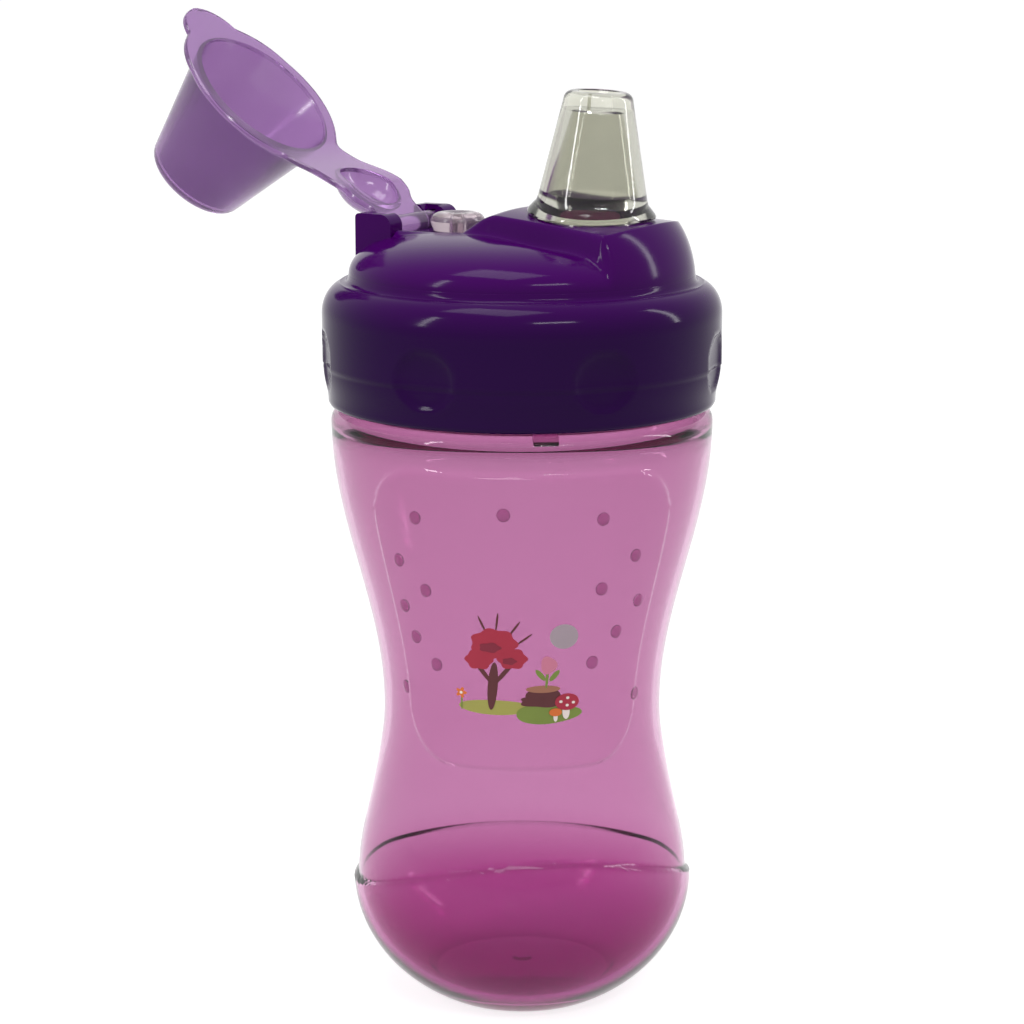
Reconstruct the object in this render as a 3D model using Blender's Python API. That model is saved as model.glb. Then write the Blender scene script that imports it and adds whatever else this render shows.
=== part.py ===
"""A child's spout cup: bottle, screw lid, soft spout, vent plug, seal ring and hinged hygiene cover.

Metres, +Z up. The origin is on the bottle's axis, on the plane it stands on. The cover is modelled
shut, in the lid's own frame (x towards the spout, y along the hinge), and is then swung open.
"""

from math import atan, atan2, cos, degrees, hypot, pi, radians, sin, sqrt

import bmesh
import bpy
from mathutils import Matrix, Vector

MM = 0.001
GAP = 0.3 * MM

# Driving dimensions: the bottle
BODY_HEIGHT = 119.6 * MM  # foot to the ledge under the skirt
SHOULDER_RADIUS = 37.55 * MM
SHOULDER_ROUND = 2.4 * MM
WAIST_RADIUS = 27.7 * MM
WAIST_HEIGHT = 59.5 * MM
HIP_RADIUS = 34.1 * MM
HIP_HEIGHT = 24.0 * MM
BOWL_DEPTH = 28.1 * MM  # of the ellipse that the foot plane cuts
BODY_WALL = 1.7 * MM
FLOOR_HEIGHT = 3.6 * MM
STEP_DEPTH = 0.45 * MM
STEP_RISE = 11.2 * MM  # how far the step line climbs at the front
STEP_WIDTH = 1.6 * MM
STEP_CENTRE = radians(8.0)
PANEL_HALF_ANGLE = radians(50.0)
PANEL_LOW = 53.6 * MM
PANEL_HIGH = 112.5 * MM
PANEL_CORNER = 11.0 * MM
PANEL_DEPTH = 0.5 * MM
PANEL_EDGE = 2.4 * MM
NECK_RADIUS = 34.5 * MM
NECK_WALL = 2.0 * MM
NECK_HEIGHT = 20.6 * MM
LUG_WIDTH = 4.7 * MM
LUG_HEIGHT = 1.6 * MM
LUG_ANGLE = radians(7.0)

# Driving dimensions: the thread
THREAD_PITCH = 5.0 * MM
THREAD_DEPTH = 1.6 * MM
THREAD_BASE = 2.0 * MM
THREAD_CREST = 1.0 * MM
THREAD_START = 6.5 * MM  # above the ledge
THREAD_PLAY = 0.35 * MM
THREAD_FADE = radians(22.5)

# Driving dimensions: the lid
SKIRT_RADIUS = 39.1 * MM
SKIRT_DROP = 0.8 * MM  # from the skirt's edge down to the ledge
SKIRT_HEIGHT = 24.9 * MM
SKIRT_WALL = 2.5 * MM
PARTING_HEIGHT = 7.8 * MM
PARTING_STEP = 0.2 * MM
DOME_RADIUS = 33.8 * MM
DOME_HEIGHT = 9.2 * MM  # above the skirt's top
DOME_CURVE = (  # shares of the radius and of the height
    (1.0, 0.06),
    (0.993, 0.24),
    (0.972, 0.42),
    (0.936, 0.58),
    (0.88, 0.70),
    (0.79, 0.80),
    (0.62, 0.89),
    (0.36, 0.96),
    (0.0, 1.0),
)
LID_WALL = 2.2 * MM
LID_YAW = radians(-30.0)  # from the bottle's +X to the lid's own x
DIMPLES = 7
DIMPLE_FIRST = radians(-118.0)
DIMPLE_HEIGHT = 9.3 * MM
DIMPLE_SIZE = (12.4 * MM, 11.2 * MM, 0.7 * MM)

# Driving dimensions: the deck, a raised spine from the hinge past the spout
DECK_HEIGHT = 12.4 * MM  # above the skirt's top, at the spout
NOSE_HEIGHT = 16.2 * MM  # where the round nose would peak if the deck didn't cut it flat
DECK_TILT = radians(3.5)
DECK_CROWN = 1.0 / (180.0 * MM)
DECK_END = 32.8 * MM
CHANNEL_DEPTH = 4.7 * MM  # below the deck, at the hinge end
CHANNEL_HALF = 11.0 * MM
CHANNEL_LIP = 1.0 * MM
RAMP_FOOT = -10.0 * MM
RAMP_HEAD = 1.0 * MM
SPINE_HALF = 12.0 * MM

# Driving dimensions: the spout and the vent
SPOUT_PLACE = 15.4 * MM
SPOUT_HEIGHT = 23.7 * MM
SPOUT_FOOT = 12.4 * MM
SPOUT_TOP = 6.7 * MM
SPOUT_WALL = 1.6 * MM
SPOUT_CEILING = 3.6 * MM
SPOUT_ROUND = 1.8 * MM
SPOUT_HOLE = 9.6 * MM
SPOUT_FLANGE = 11.0 * MM
SLIT = (6.0 * MM, 0.6 * MM)
VENT_PLACE = -14.6 * MM
VENT_RADIUS = 5.4 * MM
VENT_HEIGHT = 3.9 * MM
VENT_HOLE = 2.6 * MM

# Driving dimensions: the hinge and the cover
HINGE_PLACE = -26.4 * MM
EAR_LENGTH = 8.2 * MM
EAR_THICKNESS = 4.3 * MM
EAR_GAP = 16.5 * MM
EAR_TOP = 3.0 * MM  # above the hinge axis
TRUNNION_RADIUS = 1.7 * MM
TRUNNION_LENGTH = 2.5 * MM
BARREL_RADIUS = 2.0 * MM
SOCKET_THROAT = 2.9 * MM
COVER_OPEN = radians(138.5)
COVER_SHEET = 1.3 * MM
COVER_WALL = 1.2 * MM
COVER_MOUTH = 15.0 * MM
COVER_END = 9.6 * MM
COVER_ROUND = 2.4 * MM
COVER_RIM = 17.7 * MM
STRAP_LOBE = 10.4 * MM
STRAP_NECK = 7.9 * MM
TAB_REACH = 6.0 * MM  # beyond the rim
TAB_HALF = 7.0 * MM
DIMPLE_HALF = 6.7 * MM

# Driving dimensions: the seal
SEAL_THICKNESS = 1.2 * MM
SEAL_INNER = 31.9 * MM
SEAL_OUTER = 35.2 * MM

SEGMENTS = 48

# Levels that follow from them
LEDGE_Z = BODY_HEIGHT
NECK_TOP_Z = LEDGE_Z + NECK_HEIGHT
LAND_Z = NECK_TOP_Z + 2.0 * GAP + SEAL_THICKNESS
SKIRT_Z = LEDGE_Z + SKIRT_DROP
SKIRT_TOP_Z = SKIRT_Z + SKIRT_HEIGHT
DECK_Z = SKIRT_TOP_Z + DECK_HEIGHT
CHANNEL_Z = DECK_Z - CHANNEL_DEPTH
HINGE_Z = CHANNEL_Z + GAP + 0.5 * COVER_SHEET
LID_BORE = SKIRT_RADIUS - SKIRT_WALL


def clear_scene():
    for item in list(bpy.data.objects):
        bpy.data.objects.remove(item, do_unlink=True)


def smooth(value):
    """Rises from 0 to 1, level at both ends, as value goes from 0 to 1."""
    value = min(max(value, 0.0), 1.0)
    return value * value * (3.0 - 2.0 * value)


def arc(centre, radii, start, stop, steps):
    """Points on an ellipse's arc in the (radius, height) plane, its angles in degrees."""
    angles = [radians(start + (stop - start) * i / steps) for i in range(steps + 1)]
    return [(centre[0] + radii[0] * cos(a), centre[1] + radii[1] * sin(a)) for a in angles]


def object_of(name, mesh_source):
    """A new object in the scene that holds the bmesh, with its normals facing out."""
    bmesh.ops.remove_doubles(mesh_source, verts=mesh_source.verts, dist=1e-7)
    bmesh.ops.recalc_face_normals(mesh_source, faces=mesh_source.faces)
    mesh = bpy.data.meshes.new(name)
    mesh_source.to_mesh(mesh)
    mesh_source.free()
    made = bpy.data.objects.new(name, mesh)
    bpy.context.scene.collection.objects.link(made)
    return made


def turned(name, outline, segments=SEGMENTS, reshape=None):
    """Spins an outline of (radius, height) points about Z. It is closed unless it ends on the axis."""
    work = bmesh.new()
    points = [work.verts.new((r, 0.0, z)) for r, z in outline]
    pairs = list(zip(points, points[1:]))
    if outline[0][0] > 1e-9:
        pairs.append((points[-1], points[0]))
    edges = [work.edges.new(pair) for pair in pairs]
    bmesh.ops.spin(
        work,
        geom=points + edges,
        cent=(0.0, 0.0, 0.0),
        axis=(0.0, 0.0, 1.0),
        angle=2.0 * pi,
        steps=segments,
        use_merge=True,
    )
    bmesh.ops.remove_doubles(work, verts=work.verts, dist=1e-7)
    if reshape:
        for vertex in work.verts:
            vertex.co = reshape(vertex.co)
    return object_of(name, work)


def lofted(name, sections):
    """A solid through a row of closed sections with as many points each, capped at both ends."""
    work = bmesh.new()
    rings = [[work.verts.new(point) for point in section] for section in sections]
    for near, far in zip(rings, rings[1:]):
        for i in range(len(near)):
            j = (i + 1) % len(near)
            work.faces.new((near[i], near[j], far[j], far[i]))
    work.faces.new(rings[0])
    work.faces.new(rings[-1][::-1])
    return object_of(name, work)


def box(name, low, high):
    """A block between two corners."""
    corners = [(low[0], low[1]), (high[0], low[1]), (high[0], high[1]), (low[0], high[1])]
    return lofted(name, [[(x, y, z) for x, y in corners] for z in (low[2], high[2])])


def bar(name, outline, low, high):
    """An outline of (x, z) points, extruded along y."""
    return lofted(name, [[(x, y, z) for x, z in outline] for y in (low, high)])


def ellipsoid(name, centre, radii, rows=10, segments=20):
    work = bmesh.new()
    bmesh.ops.create_uvsphere(work, u_segments=segments, v_segments=rows, radius=1.0)
    bmesh.ops.scale(work, vec=radii, verts=work.verts)
    bmesh.ops.translate(work, vec=centre, verts=work.verts)
    return object_of(name, work)


def placed(item, matrix):
    """Moves an object's mesh, and leaves the object itself at the origin."""
    item.data.transform(matrix)
    return item


def combine(target, tool, operation):
    """Joins, cuts or intersects target with tool, and removes the tool."""
    modifier = target.modifiers.new(operation.title(), "BOOLEAN")
    modifier.operation = operation
    modifier.solver = "EXACT"
    modifier.object = tool
    bpy.context.view_layer.update()
    graph = bpy.context.evaluated_depsgraph_get()
    result = bpy.data.meshes.new_from_object(target.evaluated_get(graph))
    target.modifiers.clear()
    target.data = result
    bpy.data.objects.remove(tool, do_unlink=True)
    return target


def dress(item, label, colour, roughness, alpha=1.0):
    """Gives an object its own plastic, and shades its round faces smooth."""
    material = bpy.data.materials.new(label)
    material.use_nodes = True
    shader = material.node_tree.nodes["Principled BSDF"]
    shader.inputs["Base Color"].default_value = (*colour, 1.0)
    shader.inputs["Roughness"].default_value = roughness
    shader.inputs["Metallic"].default_value = 0.0
    shader.inputs["Alpha"].default_value = alpha
    item.data.materials.clear()
    item.data.materials.append(material)
    item.data.shade_smooth()
    item.data.set_sharp_from_angle(angle=radians(35.0))


# ---- the bottle ----


def body_radius(z):
    """The hourglass between the hip and the shoulder, without its step and its panel."""
    top = LEDGE_Z - SHOULDER_ROUND
    if z >= WAIST_HEIGHT:
        share = (z - WAIST_HEIGHT) / (top - WAIST_HEIGHT)
        return WAIST_RADIUS + (SHOULDER_RADIUS - WAIST_RADIUS) * 0.5 * (1.0 - cos(pi * share))
    share = (WAIST_HEIGHT - z) / (WAIST_HEIGHT - HIP_HEIGHT)
    return WAIST_RADIUS + (HIP_RADIUS - WAIST_RADIUS) * 0.5 * (1.0 - cos(pi * share))


def step_height(azimuth):
    """Where the step line runs: level behind, and highest near the front. Azimuth 0 is the front."""
    towards = cos(azimuth - STEP_CENTRE)
    return HIP_HEIGHT + STEP_RISE * max(towards, 0.0) ** 1.5


def panel_share(azimuth, z):
    """1 inside the rounded grip panel on the front, 0 outside it, with a soft edge between."""
    across = abs(azimuth) * body_radius(z)
    half_width = PANEL_HALF_ANGLE * body_radius(z)
    half_height = 0.5 * (PANEL_HIGH - PANEL_LOW)
    dx = across - half_width + PANEL_CORNER
    dz = abs(z - PANEL_LOW - half_height) - half_height + PANEL_CORNER
    outside = hypot(max(dx, 0.0), max(dz, 0.0)) + min(max(dx, dz), 0.0) - PANEL_CORNER
    return smooth(0.5 - outside / PANEL_EDGE)


def body_relief(point):
    """Sinks the wall above the step line, and lifts the grip panel."""
    radius = hypot(point.x, point.y)
    plain = body_radius(point.z)
    beyond = point.z < HIP_HEIGHT - STEP_WIDTH or point.z > LEDGE_Z - SHOULDER_ROUND
    if beyond or radius < plain - 0.5 * BODY_WALL:
        return point
    azimuth = atan2(point.x, -point.y)
    above = smooth(0.5 + (point.z - step_height(azimuth)) / STEP_WIDTH)
    low_band = smooth((PANEL_LOW - point.z) / (PANEL_LOW - HIP_HEIGHT - STEP_RISE))
    change = PANEL_DEPTH * panel_share(azimuth, point.z) - STEP_DEPTH * above * low_band
    scale = (radius + change) / radius
    return Vector((point.x * scale, point.y * scale, point.z))


def body_outline():
    foot_share = sqrt(1.0 - (HIP_HEIGHT / BOWL_DEPTH) ** 2)
    bowl_start = degrees(atan(foot_share * BOWL_DEPTH / HIP_HEIGHT)) - 90.0
    bowl = arc((0.0, HIP_HEIGHT), (HIP_RADIUS, BOWL_DEPTH), bowl_start, -4.0, 7)
    top = LEDGE_Z - SHOULDER_ROUND
    low_rows = 9
    high_rows = 14
    low = [HIP_HEIGHT + (WAIST_HEIGHT - 8.0 * MM - HIP_HEIGHT) * i / low_rows for i in range(low_rows)]
    high = [low[-1] + (top - low[-1]) * (i + 1) / high_rows for i in range(high_rows)]
    side = [(body_radius(z), z) for z in low + high]
    bend = SHOULDER_RADIUS - SHOULDER_ROUND
    shoulder = arc((bend, top), (SHOULDER_ROUND, SHOULDER_ROUND), 0.0, 90.0, 4)[1:]
    neck = [
        (NECK_RADIUS, LEDGE_Z),
        (NECK_RADIUS, NECK_TOP_Z - 0.5 * MM),
        (NECK_RADIUS - 0.5 * MM, NECK_TOP_Z),
    ]
    bore = NECK_RADIUS - NECK_WALL
    inner_neck = [(bore + 0.5 * MM, NECK_TOP_Z), (bore, NECK_TOP_Z - 0.5 * MM), (bore, LEDGE_Z)]
    inner_top = top - 3.0 * MM
    rows = 10
    inner_levels = [inner_top + (HIP_HEIGHT - inner_top) * i / rows for i in range(rows + 1)]
    inner_side = [(body_radius(z) - BODY_WALL, z) for z in inner_levels]
    hollow = (HIP_RADIUS - BODY_WALL, BOWL_DEPTH - BODY_WALL - 0.9 * MM)
    floor_share = (HIP_HEIGHT - FLOOR_HEIGHT) / hollow[1]
    floor_angle = -degrees(atan(floor_share / sqrt(1.0 - floor_share**2)))
    inner_bowl = arc((0.0, HIP_HEIGHT), hollow, -12.0, floor_angle, 5)
    outside = [(0.0, 0.0)] + bowl + side + shoulder + neck
    return outside + inner_neck + inner_side + inner_bowl + [(0.0, FLOOR_HEIGHT)]


def thread(name, wall, crest, height, turn_from):
    """One turn of right-hand thread. It grows from inside the wall at radius wall out to radius crest."""
    outward = 1.0 if crest > wall else -1.0
    root = wall - outward * 0.6 * MM
    steps = SEGMENTS
    sections = []
    for i in range(steps + 1):
        turn = 2.0 * pi * i / steps
        fade = smooth(min(turn, 2.0 * pi - turn) / THREAD_FADE)
        tip = wall - outward * 0.3 * MM + (crest - wall + outward * 0.3 * MM) * fade
        z = height + THREAD_PITCH * i / steps
        profile = [
            (root, z - 0.5 * THREAD_BASE),
            (tip, z - 0.5 * THREAD_CREST),
            (tip, z + 0.5 * THREAD_CREST),
            (root, z + 0.5 * THREAD_BASE),
        ]
        angle = turn_from + turn
        sections.append([(r * cos(angle), r * sin(angle), level) for r, level in profile])
    return lofted(name, sections)


def build_cup_body():
    body = turned("cup_body", body_outline(), reshape=body_relief)
    ridge = thread("neck_thread", NECK_RADIUS, NECK_RADIUS + THREAD_DEPTH, LEDGE_Z + THREAD_START, 0.02)
    combine(body, ridge, "UNION")
    reach = SHOULDER_RADIUS - 0.4 * MM
    lug = box(
        "lug",
        (-0.5 * LUG_WIDTH, -reach, LEDGE_Z - LUG_HEIGHT),
        (0.5 * LUG_WIDTH, -NECK_RADIUS + 0.4 * MM, LEDGE_Z + 0.5 * SKIRT_DROP),
    )
    combine(body, placed(lug, Matrix.Rotation(LUG_ANGLE, 4, "Z")), "UNION")
    dress(body, "tinted_bottle", (0.72, 0.20, 0.52), 0.08, 0.45)
    return body


def build_seal_ring():
    low = NECK_TOP_Z + GAP
    high = low + SEAL_THICKNESS
    outline = [(SEAL_INNER, low), (SEAL_OUTER, low), (SEAL_OUTER, high), (SEAL_INNER, high)]
    ring = turned("lid_seal_ring", outline)
    dress(ring, "seal_silicone", (0.75, 0.75, 0.72), 0.5, 0.8)
    return ring


# ---- the lid, in its own frame ----


def deck_height(x):
    """The straight, gently sloping top of the deck."""
    return DECK_Z - (x - SPOUT_PLACE) * sin(DECK_TILT)


def channel_height(x):
    """The strap's floor: low beside the hinge, then a ramp up to the deck."""
    rise = smooth((x - RAMP_FOOT) / (RAMP_HEAD - RAMP_FOOT))
    return CHANNEL_Z + (deck_height(x) - CHANNEL_Z) * rise


def spine_height(x):
    """The top of the spine's two side walls."""
    return max(CHANNEL_Z + CHANNEL_LIP, channel_height(x))


def spine_half(x):
    reach = max(x, 0.0) / SPOUT_PLACE
    return SPINE_HALF + (1.3 * reach + 0.7 * reach * reach) * MM


def dome_outline(inset):
    """The side dome, from its foot to the axis, with its wall taken off by inset."""
    base = SKIRT_TOP_Z
    radius = DOME_RADIUS - inset
    height = DOME_HEIGHT - inset
    return [(radius * across, base + height * up) for across, up in DOME_CURVE]


def nose_height(radius, inset):
    """The round nose beyond the spout: the deck's height is held under it."""
    share = min(radius / (DOME_RADIUS - inset), 1.0)
    return SKIRT_TOP_Z + (NOSE_HEIGHT - inset) * (1.0 - share**6.5) ** 0.62


def spine(name, inset, top_of):
    """The raised spine, with its top and its sides set in by inset."""
    rows = 40
    columns = 8
    start = HINGE_PLACE + 0.5 * EAR_LENGTH + 0.2 * MM + inset
    stop = DECK_END - inset
    bottom = SKIRT_TOP_Z + 1.0 * MM - 2.0 * inset
    sections = []
    for i in range(rows + 1):
        x = start + (stop - start) * i / rows
        chord = sqrt((DOME_RADIUS - inset - 0.4 * MM) ** 2 - min(abs(x), DECK_END - inset) ** 2)
        half = min(spine_half(x) - inset, chord)
        section = [(x, -half, bottom), (x, half, bottom)]
        for j in range(columns + 1):
            y = half * (1.0 - 2.0 * j / columns)
            crown = DECK_CROWN * y * y * smooth((x - RAMP_FOOT) / (RAMP_HEAD - RAMP_FOOT))
            z = min(top_of(x) - crown - inset, nose_height(hypot(x, y), inset))
            section.append((x, y, max(z, bottom + 0.5 * MM)))
        sections.append(section)
    return lofted(name, sections)


def build_lid_shell():
    base = SKIRT_TOP_Z
    shoulder = arc((SKIRT_RADIUS - 4.9 * MM, base - 7.0 * MM), (4.9 * MM, 6.1 * MM), 0.0, 72.0, 6)
    parting = SKIRT_Z + PARTING_HEIGHT
    outer = [
        (SKIRT_RADIUS - 1.7 * MM, SKIRT_Z),
        (SKIRT_RADIUS - 1.1 * MM, SKIRT_Z + 0.5 * MM),
        (SKIRT_RADIUS - 0.7 * MM, SKIRT_Z + 2.6 * MM),
        (SKIRT_RADIUS - PARTING_STEP, parting),
        (SKIRT_RADIUS, parting + PARTING_STEP),
    ]
    groove = [(DOME_RADIUS + 1.9 * MM, base - 0.9 * MM), (DOME_RADIUS + 0.7 * MM, base - 0.4 * MM)]
    crown = dome_outline(0.0)
    solid = turned("lid", [(0.0, SKIRT_Z)] + outer + shoulder + groove + crown)
    chamfer = 1.3 * MM
    throat = DOME_RADIUS - LID_WALL
    hollow_dome = [point for point in dome_outline(LID_WALL) if point[1] > LAND_Z + 0.5 * MM]
    hollow = [(0.0, SKIRT_Z - 1.0 * MM), (LID_BORE, SKIRT_Z - 1.0 * MM), (LID_BORE, LAND_Z - chamfer)]
    hollow += [(LID_BORE - 0.7 * chamfer, LAND_Z), (throat, LAND_Z)] + hollow_dome
    cavity = turned("cavity", hollow)
    combine(solid, spine("spine_outer", 0.0, spine_height), "UNION")
    combine(cavity, spine("spine_inner", LID_WALL, channel_height), "UNION")
    combine(solid, cavity, "DIFFERENCE")
    return solid


def cut_channel(lid):
    """Clears the strap's way between the spine's side walls, and the pocket between the ears."""
    rows = 24
    start = HINGE_PLACE + 0.5 * EAR_LENGTH - 1.0 * MM
    stop = RAMP_HEAD - 0.6 * MM
    high = DECK_Z + 5.0 * MM
    floor = [start + (stop - start) * i / rows for i in range(rows + 1)]
    outline = [(x, channel_height(x)) for x in floor] + [(stop, high), (start, high)]
    channel = bar("channel", outline, -CHANNEL_HALF, CHANNEL_HALF)
    combine(lid, channel, "DIFFERENCE")


def add_ears(lid):
    """Two ears with open-topped sockets for the cover's trunnions."""
    low = SKIRT_TOP_Z + 2.0 * MM
    top = HINGE_Z + EAR_TOP
    back = HINGE_PLACE - 0.5 * EAR_LENGTH
    front = HINGE_PLACE + 0.5 * EAR_LENGTH
    round_front = 2.4 * MM
    round_back = 0.8 * MM
    outline = [(back, low), (front, low)]
    outline += arc((front - round_front, top - round_front), (round_front, round_front), 0.0, 90.0, 4)
    outline += arc((back + round_back, top - round_back), (round_back, round_back), 90.0, 180.0, 2)
    inner = 0.5 * EAR_GAP
    for side in (-1.0, 1.0):
        ear = bar("ear", outline, side * inner, side * (inner + EAR_THICKNESS))
        combine(lid, ear, "UNION")
    pocket_floor = HINGE_Z - BARREL_RADIUS - 0.45 * MM
    pocket = box(
        "pocket",
        (back - 6.0 * MM, -inner, pocket_floor),
        (front + 1.0 * MM, inner, top + 5.0 * MM),
    )
    combine(lid, pocket, "DIFFERENCE")
    depth = TRUNNION_LENGTH + GAP
    lead_top = SOCKET_THROAT + 2.2 * MM
    socket_radius = TRUNNION_RADIUS + GAP
    hole = arc((HINGE_PLACE, HINGE_Z), (socket_radius, socket_radius), 0.0, 345.0, 23)
    lead = [
        (HINGE_PLACE - 0.5 * SOCKET_THROAT, HINGE_Z + 0.4 * MM),
        (HINGE_PLACE + 0.5 * SOCKET_THROAT, HINGE_Z + 0.4 * MM),
        (HINGE_PLACE + 0.5 * SOCKET_THROAT, HINGE_Z + socket_radius),
        (HINGE_PLACE + 0.5 * lead_top, top + 0.5 * MM),
        (HINGE_PLACE - 0.5 * lead_top, top + 0.5 * MM),
        (HINGE_PLACE - 0.5 * SOCKET_THROAT, HINGE_Z + socket_radius),
    ]
    for side in (-1.0, 1.0):
        for shape, reach in ((hole, depth), (lead, depth - 0.5 * MM)):
            cutter = bar("socket", shape, side * (inner - 0.4 * MM), side * (inner + reach))
            combine(lid, cutter, "DIFFERENCE")


def spout_frame():
    """From the spout's own frame, its axis along z and its seat at 0, to the lid's."""
    return Matrix.Translation((SPOUT_PLACE, 0.0, DECK_Z)) @ Matrix.Rotation(DECK_TILT, 4, "Y")


def cut_holes(lid):
    drop = LID_WALL + 4.0 * MM
    outline = [(0.0, -drop), (SPOUT_HOLE, -drop), (SPOUT_HOLE, 5.0 * MM), (0.0, 5.0 * MM)]
    combine(lid, placed(turned("spout_hole", outline, 40), spout_frame()), "DIFFERENCE")
    low = CHANNEL_Z - drop
    high = CHANNEL_Z + drop
    vent = [(0.0, low), (VENT_HOLE, low), (VENT_HOLE, high), (0.0, high)]
    hole = placed(turned("vent_hole", vent, 20), Matrix.Translation((VENT_PLACE, 0.0, 0.0)))
    combine(lid, hole, "DIFFERENCE")


def cut_dimples(lid):
    """Shallow oval finger grips around the skirt."""
    wide, tall, deep = DIMPLE_SIZE
    radial = 3.0 * MM
    share = sqrt(1.0 - (1.0 - deep / radial) ** 2)
    for i in range(DIMPLES):
        ball = ellipsoid(
            "dimple",
            (SKIRT_RADIUS - deep + radial, 0.0, SKIRT_Z + DIMPLE_HEIGHT),
            (radial, 0.5 * wide / share, 0.5 * tall / share),
        )
        angle = DIMPLE_FIRST - LID_YAW + 2.0 * pi * i / DIMPLES
        combine(lid, placed(ball, Matrix.Rotation(angle, 4, "Z")), "DIFFERENCE")


def build_lid():
    lid = build_lid_shell()
    cut_channel(lid)
    add_ears(lid)
    cut_holes(lid)
    cut_dimples(lid)
    below = 0.5 * (THREAD_BASE + THREAD_CREST) + THREAD_PLAY
    start = LEDGE_Z + THREAD_START - below
    ridge = thread("lid_thread", LID_BORE, LID_BORE - THREAD_DEPTH, start, 0.02 - LID_YAW)
    combine(lid, ridge, "UNION")
    dress(lid, "lid_plastic", (0.16, 0.02, 0.36), 0.18)
    return lid


def build_spout():
    """The soft spout: foot bead above the deck, neck in the hole, flange under the wall, slit on top."""
    under = -LID_WALL - 0.5 * MM
    neck = SPOUT_HOLE - GAP
    lip = 1.2 * MM
    foot_top = 1.3 * MM
    taper_foot = SPOUT_FOOT - 1.5 * MM
    taper_from = 3.6 * MM
    cap = SPOUT_HEIGHT - SPOUT_ROUND
    outside = [
        (SPOUT_FLANGE, under - lip),
        (SPOUT_FLANGE, under),
        (neck, under),
        (neck, GAP),
        (SPOUT_FOOT - 0.2 * MM, GAP),
        (SPOUT_FOOT, 0.6 * foot_top),
        (SPOUT_FOOT - 0.4 * MM, foot_top),
        (taper_foot + 0.2 * MM, 0.5 * (foot_top + taper_from)),
        (taper_foot - 0.4 * MM, taper_from),
        (0.5 * (taper_foot + SPOUT_TOP) - 0.2 * MM, 0.5 * (taper_from + cap)),
    ]
    outside += arc((SPOUT_TOP - SPOUT_ROUND, cap), (SPOUT_ROUND, SPOUT_ROUND), 0.0, 90.0, 4)
    ceiling = SPOUT_HEIGHT - SPOUT_CEILING
    throat = neck - SPOUT_WALL
    inside = [
        (0.0, ceiling),
        (SPOUT_TOP - SPOUT_WALL - 1.0 * MM, ceiling),
        (SPOUT_TOP - SPOUT_WALL, ceiling - 1.0 * MM),
        (0.5 * (taper_foot + SPOUT_TOP) - 0.2 * MM - SPOUT_WALL, 0.5 * (taper_from + cap)),
        (throat + 0.3 * MM, taper_from),
        (throat, under - lip),
    ]

    def follow_crown(point):
        share = 1.0 - smooth(point.z / (6.0 * MM))
        return Vector((point.x, point.y, point.z - DECK_CROWN * point.y**2 * share))

    outline = [(0.0, SPOUT_HEIGHT)] + outside[::-1] + inside[::-1]
    spout = placed(turned("spout", outline, 36, follow_crown), spout_frame())
    slit = box(
        "slit",
        (-0.5 * SLIT[1], -0.5 * SLIT[0], ceiling - 1.0 * MM),
        (0.5 * SLIT[1], 0.5 * SLIT[0], SPOUT_HEIGHT + 1.0 * MM),
    )
    combine(spout, placed(slit, spout_frame()), "DIFFERENCE")
    dress(spout, "clear_silicone", (0.62, 0.60, 0.52), 0.12, 0.4)
    return spout


def build_vent_valve():
    """The vent plug: a soft pad on the channel's floor, a stem through it and a flange below."""
    seat = CHANNEL_Z + GAP
    top = CHANNEL_Z + VENT_HEIGHT
    under = CHANNEL_Z - LID_WALL - GAP
    stem = VENT_HOLE - GAP
    outline = [
        (0.0, top),
        (0.6 * VENT_RADIUS, top),
        (0.82 * VENT_RADIUS, top - 0.5 * MM),
        (VENT_RADIUS, top - 1.9 * MM),
        (VENT_RADIUS - 0.6 * MM, seat),
        (stem, seat),
        (stem, under),
        (stem + 1.1 * MM, under),
        (stem + 0.7 * MM, under - 1.0 * MM),
        (0.5 * stem, under - 1.0 * MM),
        (0.5 * stem, top - 1.2 * MM),
        (0.0, top - 1.2 * MM),
    ]
    plug = placed(turned("vent_valve", outline, 24), Matrix.Translation((VENT_PLACE, 0.0, 0.0)))
    dress(plug, "vent_silicone", (0.62, 0.56, 0.60), 0.2, 0.6)
    return plug


# ---- the hygiene cover, modelled shut in the lid's frame ----


def cover_under(x):
    return channel_height(x) + GAP


def bulge(x, centre, reach, half):
    """Half the width of an oval at x, or 0 beyond it."""
    share = (x - centre) / reach
    return half * sqrt(max(1.0 - share * share, 0.0))


def cover_half(x):
    """Half the cover's width at x: the strap's lobe, the rim and the thumb tab run into each other."""
    rim_end = SPOUT_PLACE + COVER_RIM
    tab_centre = rim_end + TAB_REACH - TAB_HALF
    parts = [
        bulge(x, VENT_PLACE, 11.0 * MM, STRAP_LOBE),
        bulge(x, SPOUT_PLACE, COVER_RIM, COVER_RIM + 0.3 * MM),
        bulge(x, tab_centre, TAB_HALF, TAB_HALF),
        STRAP_NECK if x < SPOUT_PLACE else 0.0,
    ]
    power = 7.0
    blended = sum(part**power for part in parts) ** (1.0 / power)
    ear_end = HINGE_PLACE + 0.5 * EAR_LENGTH
    free = smooth((x - ear_end - GAP) / (4.0 * MM))
    return STRAP_NECK + (blended - STRAP_NECK) * free if x < VENT_PLACE else blended


def cover_sheet():
    rows = 46
    start = HINGE_PLACE
    stop = SPOUT_PLACE + COVER_RIM + TAB_REACH
    sections = []
    for i in range(rows + 1):
        share = i / rows
        x = start + (stop - start) * (1.0 - (1.0 - share) ** 1.35)
        half = max(cover_half(x), 1.6 * MM)
        low = cover_under(x)
        high = low + COVER_SHEET
        sections.append([(x, -half, low), (x, half, low), (x, half, high), (x, -half, high)])
    return lofted("hygiene_cover", sections)


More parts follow.
